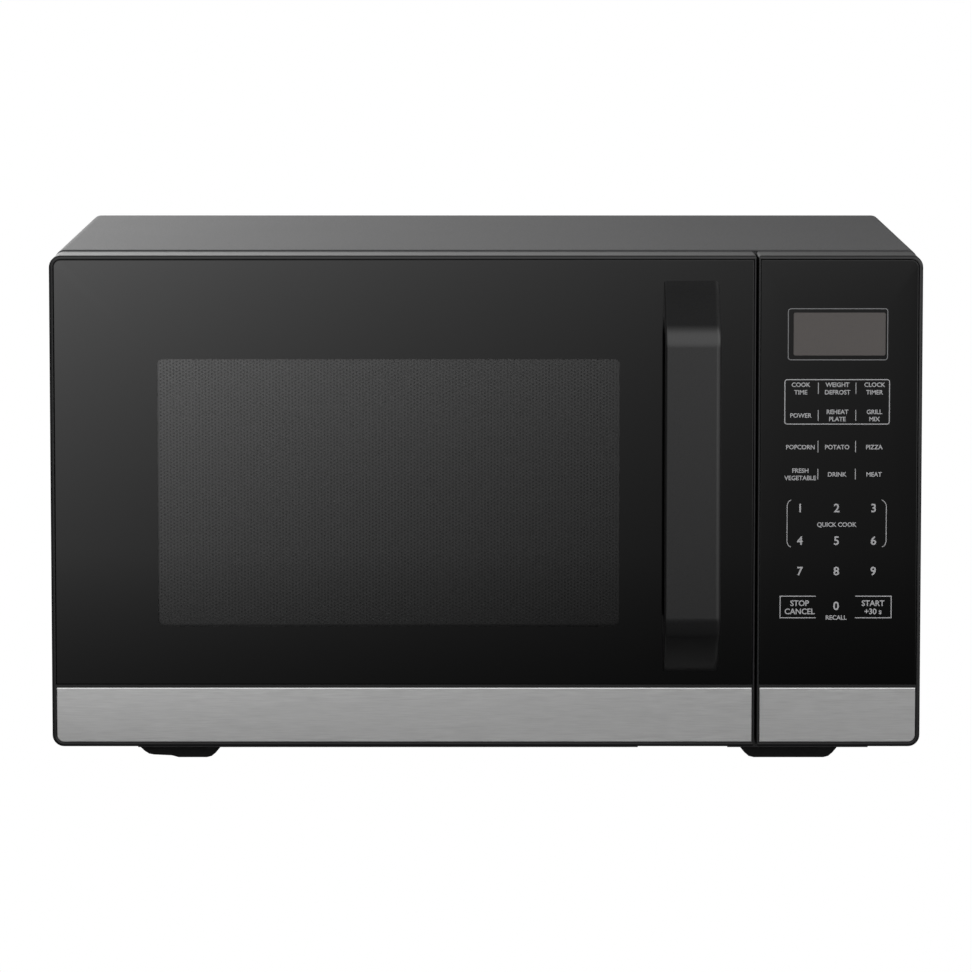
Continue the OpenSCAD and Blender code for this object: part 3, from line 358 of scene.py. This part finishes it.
# Width of the bevel, in millimetres
FINE_EDGE = {"feet": 0.8, "door_trim": 0.6, "panel_trim": 0.6, "hinge_upper": 0.3,
             "hinge_lower": 0.3, "glass_tray": 0.6, "choke_cover": 0.5, "latch_hook": 0.5,
             "turntable_coupler": 0.4, "roller_ring": 0.5, "cord_gland": 0.4,
             "rear_spacers": 0.6, "cover_screws": 0.25, "fan_shroud": 0.4, "fan_motor": 0.4,
             "magnetron_filter": 0.4, "capacitor": 0.5, "transformer_core": 0.4,
             "transformer_coils": 1.2, "lamp_holder": 0.4, "turntable_motor": 0.4,
             "latch_board": 0.3, "interlock_switches": 0.4, "roller_1": 0.5, "roller_2": 0.5,
             "roller_3": 0.5}


def dress_cad_nodes():
    """Gives each CAD node the material of its slot, and a fine bevel where its edges would show."""
    for part in frame["record"]["subparts"]:
        node, slot_name = part["node"], part["material_slot"]
        obj = frame["nodes"][node]
        obj.data.materials.clear()
        obj.data.materials.append(M[slot_name])
        weld = obj.modifiers.new("weld", "WELD")
        weld.merge_threshold = 0.002 * MM
        if node in FINE_EDGE:
            flat = obj.modifiers.new("flat faces", "DECIMATE")
            flat.decimate_type, flat.angle_limit = "DISSOLVE", math.radians(0.5)
            bevel = obj.modifiers.new("fine edges", "BEVEL")
            bevel.limit_method, bevel.angle_limit = "ANGLE", math.radians(45)
            bevel.width, bevel.segments = FINE_EDGE[node] * MM, 3
            weighted(obj)


# ---------- fascia mouldings ----------

EDGE_FILLET = 1.7 * MM
MOUTH_CHAMFER = 0.35 * MM
CUTTER_OUT = 20 * MM            # how far the cutter reaches past the moulding
CUTTER_BACK = 6 * MM            # how far back from the front it works
CORE_BACK = 7 * MM
PAST = 1 * MM                   # how far a cutter stands in front
GAP_SHARE = 0.3                 # how much smaller the fillet is beside the gap
DOOR_RADII = (CORNER, GAP_CORNER, GAP_CORNER, CORNER)
PANEL_RADII = (GAP_CORNER, CORNER, CORNER, GAP_CORNER)


def solid(loops):
    """A closed bmesh through loops."""
    bm = bmesh.new()
    loft(bm, loops)
    return bm


def moulding(name, node, body, low, high, radii, sides, lips):
    """The CAD moulding with its front edge rounded over and the mouth of its groove eased. sides
    scales the rounding, and lips the lip, at the left, bottom, right and top."""
    flat = [(low.x, low.z), (high.x, high.z)]
    bm = bmesh.new()
    bm.from_mesh(frame["nodes"][node].data)
    bmesh.ops.remove_doubles(bm, verts=bm.verts, dist=0.001 * MM)
    bmesh.ops.dissolve_limit(bm, angle_limit=math.radians(0.5), verts=bm.verts, edges=bm.edges)
    obj = piece(name, bm, body, [M["black_plastic"]], [node], normals=False)
    outside = [rounded_loop(*flat, radii, y, -CUTTER_OUT)
               for y in (FRONT - CUTTER_OUT, FRONT + CUTTER_BACK)]
    rounded_front = [(0, FRONT + CORE_BACK)] + fillet(0, FRONT, EDGE_FILLET, 1, 6)
    keep = [rounded_loop(*flat, radii, y, inset, sides=sides) for inset, y in rounded_front]
    keep.append(rounded_loop(*flat, radii, FRONT - PAST, EDGE_FILLET, sides=sides))
    eased = ((LIP, FRONT + MOUTH_CHAMFER),
             (LIP - 0.3 * MOUTH_CHAMFER, FRONT + 0.3 * MOUTH_CHAMFER),
             (LIP - MOUTH_CHAMFER, FRONT),
             (LIP - MOUTH_CHAMFER, FRONT - PAST))
    mouth = [rounded_loop(*flat, radii, y, inset, sides=lips) for inset, y in eased]
    cut(obj, [hollow(solid(outside), solid(keep)), solid(mouth)])


def hollow(outside, core):
    """A block with a core taken out of it, as one closed mesh."""
    made = [cutter_object(bm) for bm in (outside, core)]
    take_away(*made)
    bm = bmesh.new()
    bm.from_mesh(made[0].data)
    for obj in made:
        bpy.data.objects.remove(obj)
    return bm


def build_fascia():
    lip_share = GAP_LIP / LIP
    moulding("door_shell", "door_frame", "door", DOOR_LOW, DOOR_HIGH, DOOR_RADII,
             (1, 1, GAP_SHARE, 1), (1, 1, lip_share, 1))
    moulding("panel_shell", "panel_housing", "oven", PANEL_LOW, PANEL_HIGH, PANEL_RADII,
             (GAP_SHARE, 1, 1, 1), (lip_share, 1, 1, 1))


# ---------- glass ----------

GLASS_EDGE = 0.3 * MM
GLASS_CORNER = 3.9 * MM
WINDOW_CORNER = 3 * MM
SCREEN_MARGIN = Vector((8, 0, 8)) * MM          # the screen is this much larger than the window
VIEW_LOW = Vector((SCREEN_LOW.x, 0, SCREEN_LOW.z)) + SCREEN_MARGIN
VIEW_HIGH = Vector((SCREEN_HIGH.x, 0, SCREEN_HIGH.z)) - SCREEN_MARGIN
LENS_GAP = Vector((1, 0, 1)) * 0.1 * MM
LENS_CORNER = 1 * MM


def pane(name, low, high, radii, hole_low, hole_high, hole_radius, body, node, window_slot):
    """Plate of glass with eased edges. Its print leaves a rectangle clear: a window, or a hole if
    window_slot is None."""
    flat = [(low.x, low.z), (high.x, high.z)]
    hole = [(hole_low.x, hole_low.z), (hole_high.x, hole_high.z)]
    same = (hole_radius,) * 4
    front, back = low.y, high.y
    around = [(0, back), (0, front + GLASS_EDGE),
              (0.3 * GLASS_EDGE, front + 0.3 * GLASS_EDGE), (GLASS_EDGE, front)]
    loops = [rounded_loop(*hole, same, back)]
    loops += [rounded_loop(*flat, radii, y, inset) for inset, y in around]
    loops.append(rounded_loop(*hole, same, front))
    bm = bmesh.new()
    if window_slot is None:
        loft(bm, loops, closed=True)
    else:
        loft(bm, loops, slots=[0] * (len(loops) - 1) + [1])
        bm.faces.ensure_lookup_table()
        for face in bm.faces:
            if len(face.verts) > 4:
                face.material_index = 1
    materials = [M["front_glass"]] + ([M[window_slot]] if window_slot else [])
    piece(name, bm, body, materials, [node])


def build_glass():
    pane("door_pane", GLASS_LOW, GLASS_HIGH, (0, 0, 0, GLASS_CORNER),
         VIEW_LOW, VIEW_HIGH, WINDOW_CORNER, "door", "door_glass", "window_glass")
    pane("panel_pane", PANE_LOW, PANE_HIGH, (0, 0, GLASS_CORNER, 0),
         LENS_LOW - LENS_GAP, LENS_HIGH + LENS_GAP, LENS_CORNER, "oven", "panel_glass", None)


# ---------- perforated screen ----------

HOLE_PITCH = 1.94 * MM
COLUMN_PITCH = 1.78 * MM
HOLE_RADIUS = 0.62 * MM
MARGIN_CORNER = 0.02 * MM       # the margin's inner corners
MARGIN_BEHIND = 0.05 * MM       # how far the margin lies behind the outer holes


def build_screen():
    """Sheet with six-sided holes in staggered columns, and a plain margin out to the CAD
    outline."""
    y = SCREEN_LOW.y
    columns = int((VIEW_HIGH.x - VIEW_LOW.x) / COLUMN_PITCH) + 2
    rows = int((VIEW_HIGH.z - VIEW_LOW.z) / HOLE_PITCH) + 2
    middle = (VIEW_LOW + VIEW_HIGH) / 2
    wide, narrow = COLUMN_PITCH * 2 / 3, COLUMN_PITCH / 3
    cell = [(wide, 0), (narrow, 0.5), (-narrow, 0.5), (-wide, 0), (-narrow, -0.5), (narrow, -0.5)]
    bm = bmesh.new()
    corners = {}

    def corner(x, z):
        key = (round(x / (COLUMN_PITCH / 3)), round(z / (HOLE_PITCH / 2)))
        if key not in corners:
            corners[key] = bm.verts.new((x, y, z))
        return corners[key]

    for i in range(columns):
        for j in range(rows):
            x = middle.x + (i - (columns - 1) / 2) * COLUMN_PITCH
            z = middle.z + (j - (rows - 1) / 2 + 0.5 * (i % 2)) * HOLE_PITCH
            outer = [corner(x + dx, z + dz * HOLE_PITCH) for dx, dz in cell]
            turns = [math.radians(60 * k) for k in range(6)]
            inner = [bm.verts.new((x + HOLE_RADIUS * math.cos(a), y, z + HOLE_RADIUS * math.sin(a)))
                     for a in turns]
            for k in range(6):
                m = (k + 1) % 6
                bm.faces.new((outer[k], outer[m], inner[m], inner[k]))
    margin = rounded_loop((SCREEN_LOW.x, SCREEN_LOW.z), (SCREEN_HIGH.x, SCREEN_HIGH.z),
                          (WINDOW_CORNER,) * 4, y, steps=3)
    low = [min(v.co[i] for v in bm.verts) for i in (0, 2)]
    high = [max(v.co[i] for v in bm.verts) for i in (0, 2)]
    inside = rounded_loop((low[0] + COLUMN_PITCH, low[1] + HOLE_PITCH),
                          (high[0] - COLUMN_PITCH, high[1] - HOLE_PITCH),
                          (MARGIN_CORNER,) * 4, y + MARGIN_BEHIND, steps=3)
    loft(bm, [inside, margin], caps=(False, False))
    piece("perforated_screen", bm, "door", [M["screen_paint"]], ["door_screen"],
          normals=False)


# ---------- handle ----------

HANDLE_END = 34.5 * MM
HANDLE_BEND = 16 * MM
HANDLE_THICK = 9 * MM
HANDLE_FOOT = 20 * MM
HANDLE_FILLET = 1.6 * MM
HANDLE_RIGHT_FILLET = 3.2 * MM
HANDLE_BACK_FILLET = 1.2 * MM
BEND_STEPS = 14
FILLET_STEPS = 7


def handle_stations():
    """Pairs of (distance out from the glass, height) points, outer and inner, from the top foot
    down."""
    out = GLASS_LOW.y - HANDLE_LOW.y
    mid = out - HANDLE_BEND
    top, bottom = HANDLE_HIGH.z - HANDLE_END, HANDLE_LOW.z + HANDLE_END
    lean = math.atan2(HANDLE_END, -mid) - math.acos(HANDLE_BEND / math.hypot(mid, HANDLE_END))
    stations = [((0, HANDLE_HIGH.z), (0, HANDLE_HIGH.z - HANDLE_FOOT))]
    for z, a0, a1 in ((top, lean, 0), (bottom, 0, -lean)):
        for i in range(BEND_STEPS + 1):
            a = a0 + (a1 - a0) * i / BEND_STEPS
            stations.append(tuple((mid + r * math.cos(a), z + r * math.sin(a))
                                  for r in (HANDLE_BEND, HANDLE_BEND - HANDLE_THICK)))
    stations.append(((0, HANDLE_LOW.z), (0, HANDLE_LOW.z + HANDLE_FOOT)))
    return stations


def build_handle():
    """The bar as a loft of rounded rectangles through the stations."""
    x0, x1 = HANDLE_LOW.x, HANDLE_HIGH.x
    loops = []
    for outer, inner in handle_stations():
        outer, inner = Vector(outer), Vector(inner)
        depth = (outer - inner).length
        toward = (inner - outer) / depth
        corners = ((x0, 1, 0, 1, HANDLE_FILLET, 180),
                   (x1, -1, 0, 1, HANDLE_RIGHT_FILLET, 270),
                   (x1, -1, depth, -1, HANDLE_BACK_FILLET, 0),
                   (x0, 1, depth, -1, HANDLE_BACK_FILLET, 90))
        loop = []
        for x, sx, at, sign, r, start in corners:
            for i in range(FILLET_STEPS + 1):
                a = math.radians(start + 90 * i / FILLET_STEPS)
                across = x + sx * r + r * math.cos(a)
                d = at + sign * r + r * math.sin(a)
                p = outer + toward * d
                loop.append(Vector((across, GLASS_LOW.y - p.x, p.y)))
        loops.append(loop)
    bm = bmesh.new()
    loft(bm, loops)
    piece("handle_bar", bm, "door", [M["handle_plastic"]], ["door_handle"],
          angle=50)


# ---------- latch spring ----------


def build_spring():
    """The latch's return spring between the latch and its stop: the CAD spring, with a mesh of its
    own.
    """
    bm = bmesh.new()
    bm.from_mesh(frame["nodes"]["latch_spring"].data)
    bmesh.ops.remove_doubles(bm, verts=bm.verts, dist=0.001 * MM)
    spring = piece("return_spring", bm, "door", [M["bright_steel"]],
                   ["latch_spring"], angle=60)
    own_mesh(spring)


# ---------- legends on the control glass ----------

PRINT_Y = PANE_LOW.y
PRINT_T = 0.03 * MM
LINE_W = 0.5 * MM
FINE_LINE_W = 0.4 * MM
OUTLINE_W = 0.45 * MM
TYPE_SIZE = 1.38                # font size for each millimetre of a capital's height

# Places and heights on the control glass, in millimetres
COLUMNS = [173.8, 194.1, 214.6]
TYPE_SHIFT = (0.4, -0.25)       # from a line's place to the middle of its type
LABEL_H = 2.5
BIG_LABEL_H = 3.2
DIGIT_H = 4.8
LABELS = [
    (0, 214.5, "COOK"), (0, 210.3, "TIME"), (1, 214.5, "WEIGHT"), (1, 210.3, "DEFROST"),
    (2, 214.5, "CLOCK"), (2, 210.3, "TIMER"), (0, 197.4, "POWER"), (1, 199.4, "REHEAT"),
    (1, 195.4, "PLATE"), (2, 199.4, "GRILL"), (2, 195.4, "MIX"), (0, 179.8, "POPCORN"),
    (1, 179.8, "POTATO"), (2, 179.8, "PIZZA"), (0, 166.7, "FRESH"), (0, 162.6, "VEGETABLE"),
    (1, 164.6, "DRINK"), (2, 164.6, "MEAT"),
    (1, 136.6, "QUICK COOK"), (1, 84.6, "RECALL"),
]
BIG_LABELS = [(0, 92.6, "STOP"), (0, 88.0, "CANCEL"), (2, 92.6, "START"), (2, 88.0, "+30 s")]
DIGIT_ROWS = [(145.7, "123"), (127.5, "456"), (110.5, "789"), (91.0, " 0 ")]
KEY_FRAME = (165.4, 192.5, 223.3, 217.2, 1.3)
DISPLAY_FRAME = (167.1, 228.2, 222.05, 256.55, 1.5)
DIVIDERS = (183.9, 204.7)
DIVIDER_ROWS = ((209.3, 215.5), (194.3, 200.4), (176.8, 183.2), (161.7, 167.6))
LEFT_BRACKET = [(169.2, 150.3), (167.9, 149.4), (167.2, 148.2), (167.0, 146.8),
                (167.0, 127.0), (167.3, 125.7), (168.0, 124.6), (169.2, 124.0)]
RIGHT_BRACKET = [(219.5, 150.3), (220.8, 149.4), (221.7, 148.2), (222.0, 146.8),
                 (222.0, 127.0), (221.6, 125.7), (220.9, 124.6), (219.8, 124.0)]
STOP_FRAME = [(183.2, 96.45), (163.4, 96.45), (163.4, 84.35), (183.2, 84.35)]
START_FRAME = [(205.05, 96.45), (225.1, 96.45), (225.1, 84.35), (205.05, 84.35)]


def lettering(text, x, z, height):
    """A raised line of type centred on (x, z), as a mesh in the row frame."""
    curve = bpy.data.curves.new("type", "FONT")
    curve.body = text
    curve.size = height * TYPE_SIZE * MM
    curve.align_x, curve.align_y = "CENTER", "CENTER"
    curve.extrude = PRINT_T / 2
    curve.offset = 0.018 * curve.size
    curve.resolution_u = 3
    curve.space_character = 0.98
    obj = bpy.data.objects.new("type", curve)
    obj.rotation_euler = (math.radians(90), 0, 0)
    obj.location = ((x + TYPE_SHIFT[0]) * MM, PRINT_Y - PRINT_T / 2,
                    (z + TYPE_SHIFT[1]) * MM)
    scene.collection.objects.link(obj)
    bpy.context.view_layer.update()
    mesh = bpy.data.meshes.new_from_object(obj)
    mesh.transform(obj.matrix_world)
    bpy.data.objects.remove(obj)
    return mesh


def stroke(bm, points, width=LINE_W, closed=False):
    """A raised line of even width through (x, z) points in millimetres."""
    pts = [Vector(p) * MM for p in points]
    n = len(pts)
    left, right = [], []
    for i, p in enumerate(pts):
        before = pts[i - 1] if closed or i else p
        after = pts[(i + 1) % n] if closed or i < n - 1 else p
        a = (p - before).normalized() if before != p else (after - p).normalized()
        b = (after - p).normalized() if after != p else a
        along = (a + b).normalized()
        side = Vector((-along.y, along.x)) * width / 2 / max(along.dot(a), 0.5)
        left.append(p + side)
        right.append(p - side)
    loops = []
    for l, r in zip(left, right):
        loops.append([Vector((q.x, y, q.y)) for q, y in
                      ((l, PRINT_Y - PRINT_T), (r, PRINT_Y - PRINT_T), (r, PRINT_Y), (l, PRINT_Y))])
    loft(bm, loops, closed=closed)


def quarter(cx, cz, r, start, steps=5):
    """Points along a quarter of a circle."""
    turns = [math.radians(start + 90 * i / steps) for i in range(steps + 1)]
    return [(cx + r * math.cos(a), cz + r * math.sin(a)) for a in turns]


def frame_points(x0, z0, x1, z1, r):
    """Points round a rectangle with rounded corners."""
    return (quarter(x0 + r, z0 + r, r, 180) + quarter(x1 - r, z0 + r, r, 270)
            + quarter(x1 - r, z1 - r, r, 0) + quarter(x0 + r, z1 - r, r, 90))


def build_legends():
    bm = bmesh.new()
    texts = [(COLUMNS[c], z, text, LABEL_H) for c, z, text in LABELS]
    texts += [(COLUMNS[c], z, text, BIG_LABEL_H) for c, z, text in BIG_LABELS]
    for z, row in DIGIT_ROWS:
        texts += [(COLUMNS[c], z, d, DIGIT_H) for c, d in enumerate(row) if d != " "]
    for x, z, text, height in texts:
        mesh = lettering(text, x, z, height)
        bm.from_mesh(mesh)
        bpy.data.meshes.remove(mesh)
    stroke(bm, frame_points(*KEY_FRAME), closed=True)
    for x in DIVIDERS:
        for z0, z1 in DIVIDER_ROWS:
            stroke(bm, [(x, z0), (x, z1)], FINE_LINE_W)
    for bracket in (LEFT_BRACKET, RIGHT_BRACKET):
        stroke(bm, bracket, FINE_LINE_W)
    for three_sides in (STOP_FRAME, START_FRAME):
        stroke(bm, three_sides)
    piece("panel_legends", bm, "oven", [M["legend"]])
    bm = bmesh.new()
    stroke(bm, frame_points(*DISPLAY_FRAME), OUTLINE_W, closed=True)
    piece("display_outline", bm, "oven", [M["outline"]])


dress_cad_nodes()
build_fascia()
build_glass()
build_screen()
build_handle()
build_spring()
build_legends()

# ---------- camera, light and floor ----------

CAMERA_HEIGHT = 506.5 * MM
CAMERA_PITCH = 6.23
CAMERA_DISTANCE = 3192 * MM     # from the front of the fascia
CAMERA_LENS = 214.55


def set_camera():
    camera = bpy.data.objects.new("camera", bpy.data.cameras.new("camera"))
    camera.data.lens = CAMERA_LENS
    camera.location = (0, FRONT - CAMERA_DISTANCE, CAMERA_HEIGHT)
    camera.rotation_euler = (math.radians(90 - CAMERA_PITCH), 0, 0)
    camera.data.clip_start, camera.data.clip_end = 0.05, 50
    scene.collection.objects.link(camera)
    scene.camera = camera


set_camera()
scene.view_settings.view_transform = "Standard"


class Light(Nodes):
    """Node tree of an emitter: a world or a card."""

    def __init__(self, tree):
        self.tree = tree

    def math(self, operation, *values):
        """The output of a Math node whose inputs are numbers or sockets."""
        node = self.add("ShaderNodeMath", operation=operation)
        for socket, value in zip(node.inputs, values):
            if isinstance(value, (int, float)):
                socket.default_value = value
            else:
                self.link(value, socket)
        return node.outputs[0]

    def ramp(self, value, stops):
        """Strength along value, from (place from -1 to 1, strength) pairs."""
        along = self.math("MULTIPLY_ADD", value, 0.5, 0.5)
        node = self.add("ShaderNodeFloatCurve")
        top = max(level for _, level in stops)
        curve = node.mapping.curves[0]
        node.mapping.clip_max_x = node.mapping.clip_max_y = 1
        points = [((place + 1) / 2, level / top) for place, level in stops]
        curve.points[0].location, curve.points[1].location = points[0], points[-1]
        for point in points[1:-1]:
            curve.points.new(*point)
        for point in curve.points:
            point.handle_type = "VECTOR"
        node.mapping.update()
        self.link(along, node.inputs["Value"])
        return self.math("MULTIPLY", node.outputs[0], top)


# Strength of the studio by direction: each is a list of (place from -1 to 1, strength)
STUDIO_UP = [(-1.0, 0.1), (-0.08, 0.12), (0.0, 0.9), (0.15, 1.5), (0.8, 1.5), (1.0, 0.3)]
STUDIO_BACK = [(-1.0, 1.0), (-0.2, 1.0), (0.0, 0.5), (0.2, 0.1), (0.5, 0.12), (0.8, 0.6),
               (1.0, 0.6)]
STUDIO_RIGHT = [(-1.0, 0.25), (-0.75, 0.45), (-0.35, 1.0), (0.35, 1.0), (0.75, 1.3), (1.0, 1.3)]


def set_world():
    world = bpy.data.worlds.new("studio")
    scene.world = world
    world.use_nodes = True
    n = Light(world.node_tree)
    background = world.node_tree.nodes["Background"]
    split = n.add("ShaderNodeSeparateXYZ")
    n.link(n.add("ShaderNodeTexCoord").outputs["Generated"], split.inputs[0])
    strength = 1.0
    for axis, stops in (("X", STUDIO_RIGHT), ("Y", STUDIO_BACK), ("Z", STUDIO_UP)):
        strength = n.math("MULTIPLY", n.ramp(split.outputs[axis], stops), strength)
    seen = n.add("ShaderNodeLightPath").outputs["Is Camera Ray"]
    n.link(n.math("MAXIMUM", strength, seen), background.inputs["Strength"])
    background.inputs["Color"].default_value = (1, 1, 1, 1)


def card(name, low, high, axis, strength, seen_by):
    """Flat emitter between two corners, square to axis. strength makes the node socket that says
    how bright each place on the card is, and seen_by lists the kinds of ray that meet it."""
    mesh = bpy.data.meshes.new(name)
    bm = bmesh.new()
    near = [(low.x, low.y, low.z), (high.x, low.y, low.z)]
    if axis == "Z":
        far = [(high.x, high.y, low.z), (low.x, high.y, low.z)]
    else:
        far = [(high.x, low.y, high.z), (low.x, low.y, high.z)]
    bm.faces.new([bm.verts.new(c) for c in near + far])
    bm.to_mesh(mesh)
    bm.free()
    obj = bpy.data.objects.new(name, mesh)
    scene.collection.objects.link(obj)
    material = bpy.data.materials.new(name)
    material.use_nodes = True
    tree = material.node_tree
    tree.nodes.remove(tree.nodes["Principled BSDF"])
    n = Light(tree)
    emission = n.add("ShaderNodeEmission")
    split = n.add("ShaderNodeSeparateXYZ")
    n.link(n.add("ShaderNodeTexCoord").outputs["Object"], split.inputs[0])
    n.link(strength(n, split.outputs), emission.inputs["Strength"])
    n.link(emission.outputs[0], tree.nodes["Material Output"].inputs["Surface"])
    mesh.materials.append(material)
    for ray in ("camera", "diffuse", "glossy", "transmission", "shadow", "volume_scatter"):
        setattr(obj, "visible_" + ray, ray in seen_by)


# Share of the floor's glow by the place on the glass that shows it: dark beyond the left side, and
# a pool of light beyond the right
GLOW_SIDES = [(-1.0, 0.1), (-0.45, 0.12), (-0.27, 1.0), (0.265, 1.0), (0.3, 0.1), (0.36, 0.1),
              (0.42, 9.0), (1.0, 9.0)]
GLOW_REACH = 0.27               # beyond this distance from the middle the slope stays level
GLOW_BASE, GLOW_ACROSS, GLOW_RISE = -1.82, -3.4, 6.1
LOW_BAND, LOW_FALL = 0.12, -8.0         # the glow falls faster below this height


def glass_gradient(n, place):
    """Strength on the floor in front, so that the glass mirrors a slope of light, the exponential
    of GLOW_BASE + GLOW_ACROSS x + GLOW_RISE z, where (x, z) is the spot on the glass that shows
    this spot of the floor."""
    away = n.math("SUBTRACT", FRONT, place["Y"])
    whole = n.math("ADD", away, CAMERA_DISTANCE)
    x = n.math("DIVIDE", n.math("MULTIPLY", place["X"], CAMERA_DISTANCE), whole)
    z = n.math("DIVIDE", n.math("MULTIPLY", away, CAMERA_HEIGHT), whole)
    inside = n.math("MAXIMUM", n.math("MINIMUM", x, GLOW_REACH), -GLOW_REACH)
    below = n.math("MAXIMUM", n.math("SUBTRACT", LOW_BAND, z), 0.0)
    low = n.math("MULTIPLY", below, LOW_FALL)
    power = n.math("ADD", n.math("MULTIPLY", inside, GLOW_ACROSS), n.math("MULTIPLY", z, GLOW_RISE))
    slope = n.math("EXPONENT", n.math("ADD", n.math("ADD", power, low), GLOW_BASE))
    return n.math("MULTIPLY", slope, n.ramp(x, GLOW_SIDES))


BACK_DIM, BACK_ACROSS = 0.55, -2.7


def back_gradient(n, place):
    """Strength behind the oven, brighter to the left, which the top of the cabinet shows."""
    across = n.math("MULTIPLY", place["X"], BACK_ACROSS)
    return n.math("EXPONENT", n.math("SUBTRACT", across, BACK_DIM))


def even(n, place):
    """The same strength all over."""
    return n.math("ADD", 1.0, 0.0)


set_world()
card("floor", Vector((-4, -4, 0)), Vector((4, 4, 0)), "Z", even, ("camera",))
card("back_glow", Vector((-0.9, 0.75, 0.29)), Vector((0.9, 0.75, 1.0)), "Y", back_gradient,
     ("glossy",))
card("floor_glow", Vector((-2, FRONT - 9, 1 * MM)), Vector((2, FRONT - 0.15, 1 * MM)), "Z",
     glass_gradient, ("glossy",))
